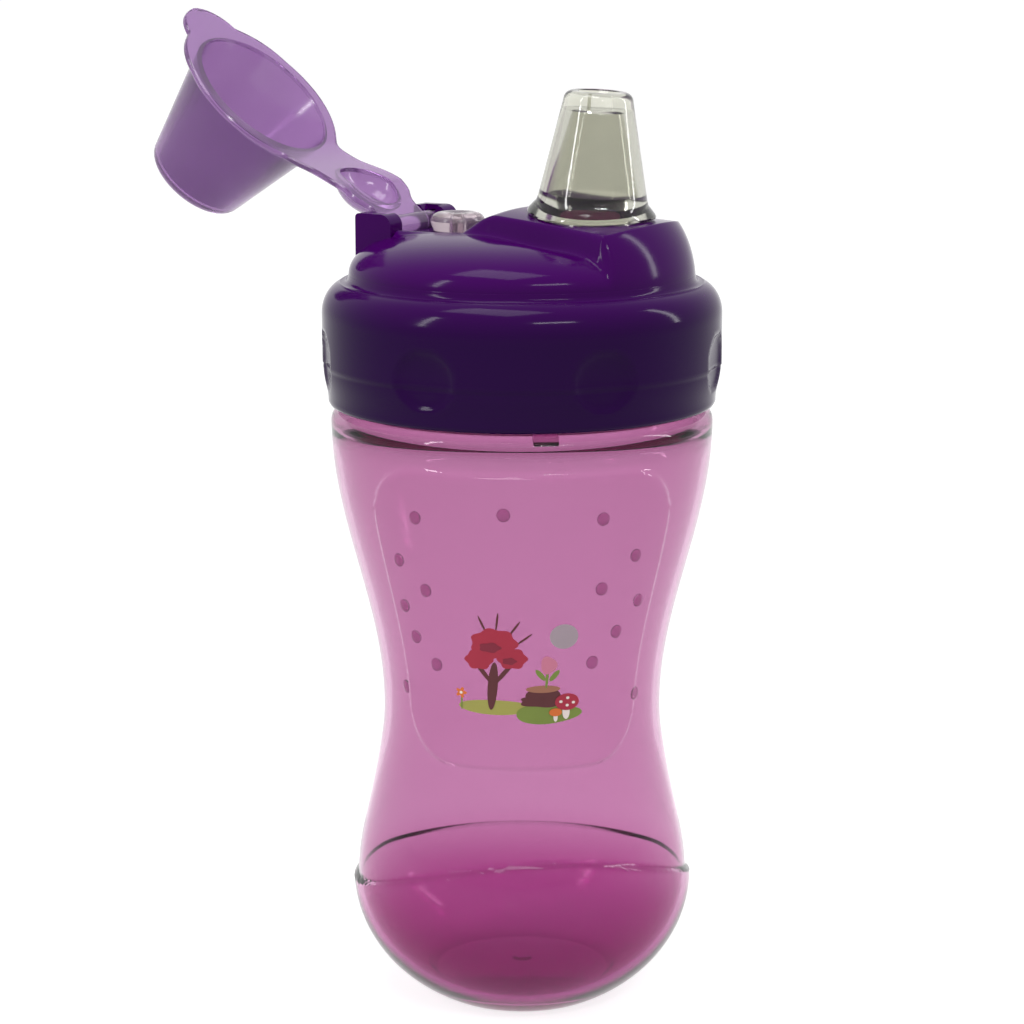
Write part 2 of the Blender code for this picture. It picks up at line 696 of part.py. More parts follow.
def build_hygiene_cover():
    cover = cover_sheet()
    base = DECK_Z + GAP
    reach = SPOUT_HEIGHT + 1.0 * MM
    frame = Matrix.Translation((SPOUT_PLACE, 0.0, base)) @ Matrix.Rotation(DECK_TILT, 4, "Y")
    tip = reach + COVER_WALL
    cup = [(0.0, 0.2 * MM), (COVER_MOUTH + COVER_WALL, 0.2 * MM)]
    turn = COVER_END + COVER_WALL - COVER_ROUND
    cup += arc((turn, tip - COVER_ROUND), (COVER_ROUND, COVER_ROUND), 12.0, 90.0, 4)
    inner_round = COVER_ROUND - 0.6 * MM
    inner_turn = COVER_END - inner_round
    hollow = [(0.0, -3.0 * MM), (COVER_MOUTH, -3.0 * MM), (COVER_MOUTH, 0.0)]
    hollow += arc((inner_turn, reach - inner_round), (inner_round, inner_round), 12.0, 90.0, 3)
    combine(cover, placed(turned("cup", cup + [(0.0, tip)], 40), frame), "UNION")
    combine(cover, placed(turned("hollow", hollow + [(0.0, reach)], 40), frame), "DIFFERENCE")
    dome_centre = (VENT_PLACE, 0.0, cover_under(VENT_PLACE))
    lift = VENT_HEIGHT + 1.1 * MM
    wide = (DIMPLE_HALF + COVER_WALL, DIMPLE_HALF - 0.3 * MM + COVER_WALL, lift + COVER_WALL)
    bump = ellipsoid("bump", dome_centre, wide, 14, 24)
    spread = 14.0 * MM
    levels = [VENT_PLACE + spread * (i / 20.0 - 1.0) for i in range(41)]
    floor = [(x, cover_under(x) + 0.4 * MM) for x in levels]
    deep = dome_centre[2] - 20.0 * MM
    under = bar("under", floor + [(levels[-1], deep), (levels[0], deep)], -spread, spread)
    combine(bump, under, "DIFFERENCE")
    combine(cover, bump, "UNION")
    dent = ellipsoid("dent", dome_centre, (DIMPLE_HALF, DIMPLE_HALF - 0.3 * MM, lift), 14, 24)
    combine(cover, dent, "DIFFERENCE")
    barrel_half = 0.5 * EAR_GAP - GAP
    round_barrel = arc((HINGE_PLACE, HINGE_Z), (BARREL_RADIUS, BARREL_RADIUS), 0.0, 345.0, 23)
    combine(cover, bar("barrel", round_barrel, -barrel_half, barrel_half), "UNION")
    pin_half = 0.5 * EAR_GAP + TRUNNION_LENGTH
    round_pin = arc((HINGE_PLACE, HINGE_Z), (TRUNNION_RADIUS, TRUNNION_RADIUS), 0.0, 345.0, 23)
    combine(cover, bar("trunnion", round_pin, -pin_half, pin_half), "UNION")
    dress(cover, "cover_plastic", (0.40, 0.22, 0.72), 0.15, 0.7)
    return cover


def assemble():
    clear_scene()
    build_cup_body()
    build_seal_ring()
    turntable = bpy.data.objects.new("lid_frame", None)
    bpy.context.scene.collection.objects.link(turntable)
    turntable.rotation_euler = (0.0, 0.0, LID_YAW)
    for piece in (build_lid(), build_spout(), build_vent_valve()):
        piece.parent = turntable
    hinge = bpy.data.objects.new("cover_hinge", None)
    bpy.context.scene.collection.objects.link(hinge)
    hinge.parent = turntable
    hinge.location = (HINGE_PLACE, 0.0, HINGE_Z)
    hinge.rotation_euler = (0.0, -COVER_OPEN, 0.0)
    cover = build_hygiene_cover()
    placed(cover, Matrix.Translation((-HINGE_PLACE, 0.0, -HINGE_Z)))
    cover.parent = hinge
    bpy.context.view_layer.update()


assemble()
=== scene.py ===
"""Dresses a child's spout cup: bottle, print, screw lid, soft spout, vent plug and hinged cover.

Every length is in metres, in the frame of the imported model. The lid's parts are made in the lid's
own frame (x towards the spout, y along the hinge) and are then turned into place.
"""

import logging
from collections.abc import Callable
from dataclasses import dataclass
from enum import Enum
from math import atan, atan2, cos, degrees, exp, hypot, pi, radians, sin, sqrt

import bmesh
import bpy
from mathutils import Matrix, Vector

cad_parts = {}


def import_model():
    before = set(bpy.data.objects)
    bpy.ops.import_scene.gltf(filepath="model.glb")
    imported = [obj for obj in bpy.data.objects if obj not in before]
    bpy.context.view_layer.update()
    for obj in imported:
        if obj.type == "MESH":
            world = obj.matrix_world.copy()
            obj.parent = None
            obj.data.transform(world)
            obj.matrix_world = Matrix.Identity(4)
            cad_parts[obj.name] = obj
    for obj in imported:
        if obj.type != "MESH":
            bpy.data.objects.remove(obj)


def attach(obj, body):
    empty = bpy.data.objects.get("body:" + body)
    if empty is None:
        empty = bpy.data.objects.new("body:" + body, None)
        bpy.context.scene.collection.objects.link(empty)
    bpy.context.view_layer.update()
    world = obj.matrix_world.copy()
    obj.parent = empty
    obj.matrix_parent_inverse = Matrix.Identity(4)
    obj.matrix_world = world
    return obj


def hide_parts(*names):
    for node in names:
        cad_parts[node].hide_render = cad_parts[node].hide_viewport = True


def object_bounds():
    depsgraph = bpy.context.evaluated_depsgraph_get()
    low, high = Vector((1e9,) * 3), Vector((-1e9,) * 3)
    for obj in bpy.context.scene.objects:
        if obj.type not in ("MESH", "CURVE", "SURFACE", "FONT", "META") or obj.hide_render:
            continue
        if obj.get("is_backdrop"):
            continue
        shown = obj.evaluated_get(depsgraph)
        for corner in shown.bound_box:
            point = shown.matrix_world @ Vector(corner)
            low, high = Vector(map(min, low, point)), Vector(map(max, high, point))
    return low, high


MM = 0.001
THREAD_PITCH = 5.0 * MM
THREAD_RISE = 6.5 * MM  # start of the bottle's thread above its ledge
THREAD_DROP = 1.85 * MM  # the lid's thread starts this much lower
THREAD_DEPTH = 1.6 * MM
THREAD_START = 0.02  # angle of both threads' starts
LEDGE_GAP = 0.8 * MM  # from the bottle's ledge up to the lid's skirt

log = logging.getLogger("spout_cup")

Point = tuple[float, float]
Colour = tuple[float, float, float]
Outline = list[Point]
Section = list[tuple[float, float, float]]
Reshape = Callable[[Vector], Vector]


class Cut(Enum):
    """How one solid meets another."""

    JOIN = "UNION"
    REMOVE = "DIFFERENCE"


class Body(Enum):
    """The moving groups that pieces ride on."""

    CUP = "cup"
    SEAL = "seal"
    LID = "lid"
    COVER = "cover"


# ---- shaping helpers ----


def ease(value: float) -> float:
    """Rises from 0 to 1, level at both ends, as value goes from 0 to 1."""
    value = min(max(value, 0.0), 1.0)
    return value * value * (3.0 - 2.0 * value)


def arc(centre: Point, radii: Point, start: float, stop: float, steps: int) -> Outline:
    """Samples an ellipse's arc.

    Args:
        centre: Middle of the ellipse, as radius and height.
        radii: Its two half sizes.
        start: First angle, in degrees.
        stop: Last angle, in degrees.
        steps: Number of chords.

    Returns:
        The points along the arc.
    """
    angles = [radians(start + (stop - start) * i / steps) for i in range(steps + 1)]
    return [(centre[0] + radii[0] * cos(a), centre[1] + radii[1] * sin(a)) for a in angles]


def rows(start: float, stop: float, count: int) -> list[float]:
    """Evenly spaced values from start to stop, both included."""
    return [start + (stop - start) * i / count for i in range(count + 1)]


def linked(name: str, data: bpy.types.ID) -> bpy.types.Object:
    """Puts a new object with the given data into the scene."""
    made = bpy.data.objects.new(name, data)
    bpy.context.scene.collection.objects.link(made)
    return made


def piece_of(name: str, work: bmesh.types.BMesh, sharp: float = 32.0) -> bpy.types.Object:
    """Turns a bmesh into a smooth-shaded object at the origin.

    Args:
        name: Name of the new object.
        work: The mesh, which is freed.
        sharp: Edges that turn by more than this many degrees stay crisp.

    Returns:
        The new object.
    """
    bmesh.ops.remove_doubles(work, verts=work.verts, dist=1e-7)
    bmesh.ops.recalc_face_normals(work, faces=work.faces)
    mesh = bpy.data.meshes.new(name)
    work.to_mesh(mesh)
    work.free()
    mesh.shade_smooth()
    mesh.set_sharp_from_angle(angle=radians(sharp))
    return linked(name, mesh)


def turned(name: str, outline: Outline, steps: int, reshape: Reshape | None = None) -> bpy.types.Object:
    """Spins an outline about Z.

    Args:
        name: Name of the new object.
        outline: Points of (radius, height). A shape that starts off the axis is closed into a ring.
        steps: Number of steps around.
        reshape: Moves each point after the spin.

    Returns:
        The new object.
    """
    work = bmesh.new()
    points = [work.verts.new((r, 0.0, z)) for r, z in outline]
    pairs = list(zip(points, points[1:]))
    if outline[0][0] > 1e-9:
        pairs.append((points[-1], points[0]))
    edges = [work.edges.new(pair) for pair in pairs]
    bmesh.ops.spin(
        work,
        geom=points + edges,
        cent=(0.0, 0.0, 0.0),
        axis=(0.0, 0.0, 1.0),
        angle=2.0 * pi,
        steps=steps,
        use_merge=True,
    )
    bmesh.ops.remove_doubles(work, verts=work.verts, dist=1e-7)
    if reshape:
        for vertex in work.verts:
            vertex.co = reshape(vertex.co)
    return piece_of(name, work)


def drill(name: str, radius: float, low: float, high: float, steps: int) -> bpy.types.Object:
    """Makes a round cutter about Z, from low to high."""
    return turned(name, [(0.0, low), (radius, low), (radius, high), (0.0, high)], steps)


def lofted(name: str, sections: list[Section], sharp: float = 32.0) -> bpy.types.Object:
    """Bridges a row of closed sections into a capped solid.

    Args:
        name: Name of the new object.
        sections: Closed rings with as many points each.
        sharp: Edges that turn by more than this many degrees stay crisp.

    Returns:
        The new object.
    """
    work = bmesh.new()
    rings = []
    for section in sections:
        corners = [work.verts.new(point) for point in section]
        rings.append([work.edges.new((a, b)) for a, b in zip(corners, corners[1:] + corners[:1])])
    for near, far in zip(rings, rings[1:]):
        bmesh.ops.bridge_loops(work, edges=near + far)
    for end in (rings[0], rings[-1]):
        bmesh.ops.contextual_create(work, geom=end)
    return piece_of(name, work, sharp)


def bar(name: str, outline: Outline, low: float, high: float) -> bpy.types.Object:
    """Extrudes an outline of (x, z) points along y, from low to high."""
    return lofted(name, [[(x, y, z) for x, z in outline] for y in (low, high)])


def block(name: str, low: tuple, high: tuple, bevel: float = 0.0) -> bpy.types.Object:
    """Makes a block between two corners, its edges rounded by bevel."""
    work = bmesh.new()
    bmesh.ops.create_cube(work, size=1.0)
    size = Vector(high) - Vector(low)
    bmesh.ops.scale(work, vec=size, verts=work.verts)
    bmesh.ops.translate(work, vec=(Vector(high) + Vector(low)) / 2.0, verts=work.verts)
    if bevel > 0.0:
        bmesh.ops.bevel(
            work,
            geom=work.edges[:],
            offset=bevel,
            affect="EDGES",
            segments=3,
            profile=0.5,
            material=-1,
        )
    return piece_of(name, work)


def ball(name: str, centre: tuple, radii: tuple, rings: int = 32, steps: int = 48) -> bpy.types.Object:
    """Makes an ellipsoid with the given centre and half sizes."""
    work = bmesh.new()
    bmesh.ops.create_uvsphere(work, u_segments=steps, v_segments=rings, radius=1.0)
    bmesh.ops.scale(work, vec=radii, verts=work.verts)
    bmesh.ops.translate(work, vec=centre, verts=work.verts)
    return piece_of(name, work)


def placed(item: bpy.types.Object, matrix: Matrix) -> bpy.types.Object:
    """Moves an object's mesh and leaves the object itself at the origin."""
    item.data.transform(matrix)
    return item


def combine(target: bpy.types.Object, tool: bpy.types.Object, cut: Cut, sharp: float = 32.0) -> None:
    """Joins tool to target, or removes it from target, and deletes the tool.

    Args:
        target: The solid that is changed.
        tool: The other solid.
        cut: Whether it is joined or removed.
        sharp: Edges that turn by more than this many degrees stay crisp.
    """
    modifier = target.modifiers.new(cut.name.title(), "BOOLEAN")
    modifier.operation = cut.value
    modifier.solver = "EXACT"
    modifier.object = tool
    bpy.context.view_layer.update()
    graph = bpy.context.evaluated_depsgraph_get()
    result = bpy.data.meshes.new_from_object(target.evaluated_get(graph))
    target.modifiers.clear()
    target.data = result
    bpy.data.objects.remove(tool, do_unlink=True)
    work = bmesh.new()
    work.from_mesh(result)
    bmesh.ops.remove_doubles(work, verts=work.verts, dist=2e-6)
    work.to_mesh(result)
    work.free()
    result.shade_smooth()
    result.set_sharp_from_angle(angle=radians(sharp))


def threaded(
    name: str, wall: float, crest: float, height: float, pitch: float, start: float
) -> bpy.types.Object:
    """Screws a thread's profile up by one turn.

    Args:
        name: Name of the new object.
        wall: Radius of the wall that the thread stands on.
        crest: Radius of its crest.
        height: Height of its start.
        pitch: Rise of one turn.
        start: Angle of its start.

    Returns:
        The new object.
    """
    root = wall - (0.4 * MM if crest > wall else -0.4 * MM)
    profile = [(root, -1.0 * MM), (crest, -0.5 * MM), (crest, 0.5 * MM), (root, 1.0 * MM)]
    work = bmesh.new()
    points = [work.verts.new((r, 0.0, height + z)) for r, z in profile]
    edges = [work.edges.new((a, b)) for a, b in zip(points, points[1:] + points[:1])]
    steps = 128
    made = bmesh.ops.spin(
        work,
        geom=points + edges,
        cent=(0.0, 0.0, 0.0),
        axis=(0.0, 0.0, 1.0),
        dvec=(0.0, 0.0, pitch / steps),
        angle=2.0 * pi,
        steps=steps,
    )
    bmesh.ops.contextual_create(work, geom=edges)
    last = [part for part in made["geom_last"] if isinstance(part, bmesh.types.BMEdge)]
    bmesh.ops.contextual_create(work, geom=last)
    return placed(piece_of(name, work), Matrix.Rotation(start, 4, "Z"))


# ---- finishes ----


def fill(node: bpy.types.Node, values: dict[str, object]) -> bpy.types.Node:
    """Sets a node's named inputs and returns the node."""
    for label, value in values.items():
        node.inputs[label].default_value = value
    return node


def reckon(
    tree: bpy.types.ShaderNodeTree,
    operation: str,
    first: bpy.types.NodeSocket,
    second: bpy.types.NodeSocket | float,
) -> bpy.types.NodeSocket:
    """Adds a maths node over a socket and a second socket or number, and returns its output."""
    made = tree.nodes.new("ShaderNodeMath")
    made.operation = operation
    tree.links.new(first, made.inputs[0])
    if isinstance(second, float):
        made.inputs[1].default_value = second
    else:
        tree.links.new(second, made.inputs[1])
    return made.outputs[0]


def moulding_group() -> bpy.types.ShaderNodeTree:
    """Builds the shared moulded-plastic effect: faint waviness, fine texture and handling marks.

    Returns:
        The node group, with Height, Roughness and Shade outputs.
    """
    tree = bpy.data.node_groups.new("moulded_surface", "ShaderNodeTree")
    inputs = (("Wave Scale", 60.0), ("Grain Scale", 900.0), ("Base Roughness", 0.1), ("Marks", 0.05))
    for label, value in inputs:
        socket = tree.interface.new_socket(label, in_out="INPUT", socket_type="NodeSocketFloat")
        socket.default_value = value
    for label in ("Height", "Roughness", "Shade"):
        tree.interface.new_socket(label, in_out="OUTPUT", socket_type="NodeSocketFloat")
    nodes, links = tree.nodes, tree.links
    entry = nodes.new("NodeGroupInput")
    leave = nodes.new("NodeGroupOutput")
    place = nodes.new("ShaderNodeTexCoord")
    wave = fill(nodes.new("ShaderNodeTexNoise"), {"Detail": 1.0})
    grain = nodes.new("ShaderNodeTexNoise")
    marks = fill(nodes.new("ShaderNodeTexNoise"), {"Scale": 140.0, "Detail": 6.0})
    links.new(entry.outputs["Wave Scale"], wave.inputs["Scale"])
    links.new(entry.outputs["Grain Scale"], grain.inputs["Scale"])
    for noise in (wave, grain, marks):
        links.new(place.outputs["Object"], noise.inputs["Vector"])
    fine = reckon(tree, "MULTIPLY", grain.outputs["Fac"], 0.04)
    height = reckon(tree, "ADD", wave.outputs["Fac"], fine)
    spread = reckon(tree, "MULTIPLY", marks.outputs["Fac"], entry.outputs["Marks"])
    rough = reckon(tree, "ADD", spread, entry.outputs["Base Roughness"])
    links.new(height, leave.inputs["Height"])
    links.new(rough, leave.inputs["Roughness"])
    links.new(marks.outputs["Fac"], leave.inputs["Shade"])
    return tree


@dataclass(frozen=True)
class Finish:
    """A moulded finish.

    Attributes:
        name: The material's name.
        colour: Its main colour, linear.
        second: The colour it drifts to, by height or by handling.
        fade: Heights between which it drifts from second to colour, or None to drift by handling.
        roughness: Its least roughness.
        marks: How much handling adds to the roughness.
        transmission: 0 for an opaque plastic, 1 for a clear one.
        ior: Its index of refraction.
        specular: Its specular level.
        wave: Depth of the mould's waviness.
        absorbs: The colour that its thickness lets through, or None.
        density: How strongly its thickness tints.
    """

    name: str
    colour: Colour
    second: Colour
    fade: tuple[float, float] | None = None
    roughness: float = 0.08
    marks: float = 0.05
    transmission: float = 0.0
    ior: float = 1.5
    specular: float = 0.5
    wave: float = 0.04 * MM
    absorbs: Colour | None = None
    density: float = 0.0

    def material(self) -> bpy.types.Material:
        """Builds the finish's material once and returns it."""
        known = bpy.data.materials.get(self.name)
        if known:
            return known
        made = bpy.data.materials.new(self.name)
        made.use_nodes = True
        nodes, links = made.node_tree.nodes, made.node_tree.links
        shader = fill(
            nodes["Principled BSDF"],
            {
                "Metallic": 0.0,
                "IOR": self.ior,
                "Transmission Weight": self.transmission,
                "Specular IOR Level": self.specular,
            },
        )
        group = nodes.new("ShaderNodeGroup")
        group.node_tree = bpy.data.node_groups.get("moulded_surface") or moulding_group()
        fill(group, {"Base Roughness": self.roughness, "Marks": self.marks})
        blend = nodes.new("ShaderNodeMix")
        blend.data_type = "RGBA"
        fill(blend, {"A": (*self.second, 1.0), "B": (*self.colour, 1.0)})
        if self.fade:
            place = nodes.new("ShaderNodeTexCoord")
            parts = nodes.new("ShaderNodeSeparateXYZ")
            span = nodes.new("ShaderNodeMapRange")
            span.interpolation_type = "SMOOTHSTEP"
            fill(span, {"From Min": self.fade[0], "From Max": self.fade[1]})
            links.new(place.outputs["Object"], parts.inputs[0])
            links.new(parts.outputs["Z"], span.inputs["Value"])
            links.new(span.outputs["Result"], blend.inputs["Factor"])
        else:
            links.new(group.outputs["Shade"], blend.inputs["Factor"])
        bump = fill(nodes.new("ShaderNodeBump"), {"Distance": self.wave, "Strength": 0.5})
        links.new(blend.outputs["Result"], shader.inputs["Base Color"])
        links.new(group.outputs["Roughness"], shader.inputs["Roughness"])
        links.new(group.outputs["Height"], bump.inputs["Height"])
        links.new(bump.outputs["Normal"], shader.inputs["Normal"])
        if self.absorbs:
            inside = nodes.new("ShaderNodeVolumeAbsorption")
            fill(inside, {"Color": (*self.absorbs, 1.0), "Density": self.density})
            links.new(inside.outputs["Volume"], nodes["Material Output"].inputs["Volume"])
        return made

    def dress(self, item: bpy.types.Object) -> None:
        """Puts this finish on an object."""
        item.data.materials.clear()
        item.data.materials.append(self.material())


# Darker towards the bottom: below 31 mm the bottle drifts to the deeper second magenta. This is partly
# the deeper tint of its thicker base and partly painted shade where the base sits low by the floor.
TINTED_BOTTLE = Finish(
    "tinted_bottle",
    (0.66, 0.42, 0.58),
    (0.47, 0.09, 0.33),
    fade=(0.010, 0.031),
    roughness=0.03,
    marks=0.04,
    transmission=1.0,
    ior=1.25,
    absorbs=(0.62, 0.18, 0.48),
    density=80.0,
)
# Painted light: below 136 mm the skirt takes the darker second colour as painted shade, and above 150 mm
# the dome and deck take the lighter main colour as a painted overhead sheen.
LID_PURPLE_PAINTED_SHADE_AND_SHEEN = Finish(
    "lid_moulding",
    (0.040, 0.0003, 0.078),
    (0.016, 0.0002, 0.040),
    fade=(0.136, 0.150),
    roughness=0.07,
    marks=0.10,
    ior=1.33,
    specular=0.12,
)
COVER_PURPLE = Finish(
    "cover_moulding",
    (0.38, 0.21, 0.46),
    (0.34, 0.17, 0.42),
    roughness=0.10,
    marks=0.10,
    transmission=0.80,
    ior=1.35,
)
NECK_PINK = Finish(
    "neck_plastic",
    (0.60, 0.10, 0.34),
    (0.52, 0.08, 0.30),
    roughness=0.12,
    marks=0.06,
    transmission=0.35,
    ior=1.3,
)
CLEAR_SILICONE = Finish(
    "spout_silicone",
    (0.62, 0.62, 0.54),
    (0.56, 0.56, 0.49),
    roughness=0.05,
    marks=0.08,
    transmission=1.0,
    ior=1.41,
    wave=0.08 * MM,
)
CLOUDY_SILICONE = Finish(
    "vent_silicone",
    (0.66, 0.56, 0.60),
    (0.58, 0.48, 0.53),
    roughness=0.12,
    marks=0.10,
    transmission=0.85,
    ior=1.41,
)
SEAL_SILICONE = Finish(
    "seal_silicone",
    (0.62, 0.62, 0.58),
    (0.55, 0.55, 0.51),
    roughness=0.35,
    marks=0.15,
    transmission=0.3,
    ior=1.41,
)


def deliver(item: bpy.types.Object, finish: Finish, body: Body) -> None:
    """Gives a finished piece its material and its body.

    Args:
        item: The piece.
        finish: Its finish.
        body: The body that it rides on.
    """
    finish.dress(item)
    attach(item, body.value)
    log.info("built %s", item.name)


def ink(name: str, colour: Colour) -> Finish:
    """Makes a printed ink of the given linear colour."""
    darker = tuple(0.8 * part for part in colour)
    return Finish(f"ink_{name}", colour, darker, roughness=0.3, marks=0.15, specular=0.3, wave=0.01 * MM)


# ---- the bottle ----


@dataclass
class Bottle:
    """The hourglass bottle with its step line, grip panel, bumps, neck and thread."""

    ledge: float = 119.6 * MM
    shoulder_radius: float = 37.55 * MM
    shoulder_round: float = 2.4 * MM
    waist_radius: float = 27.7 * MM
    waist_height: float = 59.5 * MM
    hip_radius: float = 34.1 * MM
    hip_height: float = 24.0 * MM
    bowl_depth: float = 28.1 * MM
    wall: float = 1.5 * MM
    floor: float = 3.6 * MM
    step_depth: float = 0.9 * MM
    step_rise: float = 11.2 * MM
    step_width: float = 0.9 * MM
    step_centre: float = radians(8.0)
    panel_half: float = radians(50.0)
    panel_low: float = 53.6 * MM
    panel_high: float = 112.5 * MM
    panel_corner: float = 11.0 * MM
    panel_depth: float = 1.0 * MM
    panel_edge: float = 1.4 * MM
    neck_radius: float = 34.5 * MM
    neck_height: float = 20.6 * MM
    steps: int = 320

    def radius(self, z: float) -> float:
        """The plain hourglass radius at a height."""
        top = self.ledge - self.shoulder_round
        if z >= self.waist_height:
            share = (z - self.waist_height) / (top - self.waist_height)
            swell = self.shoulder_radius - self.waist_radius
        else:
            share = (self.waist_height - z) / (self.waist_height - self.hip_height)
            swell = self.hip_radius - self.waist_radius
        return self.waist_radius + swell * 0.5 * (1.0 - cos(pi * share))

    def step_height(self, azimuth: float) -> float:
        """Height of the step line: level behind, highest near the front."""
        return self.hip_height + self.step_rise * max(cos(azimuth - self.step_centre), 0.0) ** 1.5

    def panel_share(self, azimuth: float, z: float) -> float:
        """Tells how far a point is inside the rounded grip panel.

        Args:
            azimuth: Angle from the front.
            z: Height.

        Returns:
            1 inside the panel, 0 outside it, with a soft edge between.
        """
        radius = self.radius(z)
        half_height = 0.5 * (self.panel_high - self.panel_low)
        dx = (abs(azimuth) - self.panel_half) * radius + self.panel_corner
        dz = abs(z - self.panel_low - half_height) - half_height + self.panel_corner
        outside = hypot(max(dx, 0.0), max(dz, 0.0)) + min(max(dx, dz), 0.0) - self.panel_corner
        return ease(0.5 - outside / self.panel_edge)

    def surface(self, azimuth: float, z: float) -> float:
        """The outer radius at an angle from the front and a height, relief included."""
        above = ease(0.5 + (z - self.step_height(azimuth)) / self.step_width)
        near = ease((self.panel_low - z) / (self.panel_low - self.hip_height - self.step_rise))
        raised = self.panel_depth * self.panel_share(azimuth, z)
        return self.radius(z) + raised - self.step_depth * above * near

    def reshape(self, point: Vector) -> Vector:
        """Moves a point of the plain outer wall onto the relief."""
        beyond = point.z < self.hip_height - self.step_width or point.z > self.ledge - self.shoulder_round
        radius = hypot(point.x, point.y)
        if beyond or radius < self.radius(point.z) - 0.5 * self.wall:
            return point
        scale = self.surface(atan2(point.x, -point.y), point.z) / radius
        return Vector((point.x * scale, point.y * scale, point.z))

    def outline(self) -> Outline:
        """The bottle's section, from the middle of its foot round to the middle of its floor."""
        foot_share = sqrt(1.0 - (self.hip_height / self.bowl_depth) ** 2)
        bowl_start = degrees(atan(foot_share * self.bowl_depth / self.hip_height)) - 90.0
        bowl = arc((0.0, self.hip_height), (self.hip_radius, self.bowl_depth), bowl_start, -1.5, 22)
        top = self.ledge - self.shoulder_round
        side = [(self.radius(z), z) for z in rows(self.hip_height, top, 165)]
        bend = self.shoulder_radius - self.shoulder_round
        shoulder = arc((bend, top), (self.shoulder_round, self.shoulder_round), 0.0, 90.0, 8)[1:]
        bore = self.neck_radius - 2.0 * MM
        lip = [(self.neck_radius, self.ledge), (bore, self.ledge)]
        under = [(0.1, -1.0), (0.8, -2.0), (1.9, -3.0), (2.8, -4.0), (3.25, -5.0)]
        lip += [(bore + across * MM, self.ledge + down * MM) for across, down in under]
        inner = [(self.radius(z) - self.wall, z) for z in rows(top - 4.5 * MM, self.hip_height, 44)]
        hollow = (self.hip_radius - self.wall, self.bowl_depth - self.wall - 1.1 * MM)
        share = (self.hip_height - self.floor) / hollow[1]
        end = -degrees(atan(share / sqrt(1.0 - share**2)))
        bowl_in = arc((0.0, self.hip_height), hollow, -3.0, end, 20)
        floor_edge = bowl_in[-1][0]
        dish = [(floor_edge * part, self.floor + 0.5 * MM * (1.0 - part**2)) for part in (0.8, 0.5, 0.2)]
        gate = [(2.2, 0.6), (1.6, 1.1), (0.0, 1.2)]
        dish += [(across * MM, self.floor + up * MM) for across, up in gate]
        return [(0.0, 0.0)] + bowl + side + shoulder + lip + inner + bowl_in + dish

    def neck(self) -> bpy.types.Object:
        """The plain neck above the ledge, hidden under the lid."""
        rim = self.ledge + self.neck_height
        bore = self.neck_radius - 2.0 * MM
        outline = [(self.neck_radius, self.ledge), (self.neck_radius, rim - 0.5 * MM)]
        outline += [(self.neck_radius - 0.5 * MM, rim), (bore + 0.5 * MM, rim), (bore, rim - 0.5 * MM)]
        return turned("bottle_neck", outline + [(bore, self.ledge)], 128)

    def bumps(self) -> bpy.types.Object:
        """The small grip bumps on the panel, as one piece."""
        places = [(-19.5, 103.5), (-3.2, 105.2), (14.4, 103.8)]
        places += [(-23.4, 94.3), (-22.6, 84.8), (-20.2, 78.6), (-15.8, 73.5)]
        places += [(21.2, 95.6), (22.2, 86.0), (17.5, 80.2), (12.7, 74.4)]
        places += [(-17.7, 88.8), (14.3, 89.6), (-24.6, 66.9), (22.9, 66.0)]
        work = bmesh.new()
        for across, height in places:
            z = height * MM
            azimuth = across * MM / self.radius(z) * 1.06
            radius = self.surface(azimuth, z) - 0.1 * MM
            made = bmesh.ops.create_uvsphere(work, u_segments=20, v_segments=12, radius=1.0)["verts"]
            bmesh.ops.scale(work, vec=(1.3 * MM, 0.32 * MM, 1.3 * MM), verts=made)
            spot = Matrix.Rotation(azimuth, 4, "Z") @ Matrix.Translation((0.0, -radius, z))
            bmesh.ops.transform(work, matrix=spot, verts=made)
        return piece_of("grip_bumps", work)

    def build(self) -> None:
        """Builds and dresses the bottle's pieces."""
        body = turned("bottle_body", self.outline(), self.steps, self.reshape)
        crest = self.neck_radius + THREAD_DEPTH
        start = self.ledge + THREAD_RISE
        thread = threaded("neck_thread", self.neck_radius, crest, start, THREAD_PITCH, THREAD_START)
        reach = self.shoulder_radius - 0.4 * MM
        lug = block(
            "stop_lug",
            (-2.35 * MM, -reach, self.ledge - 1.6 * MM),
            (2.35 * MM, -self.neck_radius + 0.4 * MM, self.ledge + 0.4 * MM),
            0.3 * MM,
        )
        placed(lug, Matrix.Rotation(radians(7.0), 4, "Z"))
        for item in (body, self.neck(), thread, lug, self.bumps()):
            finish = NECK_PINK if item.name in ("bottle_neck", "neck_thread") else TINTED_BOTTLE
            deliver(item, finish, Body.CUP)
        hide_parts("cup_body")


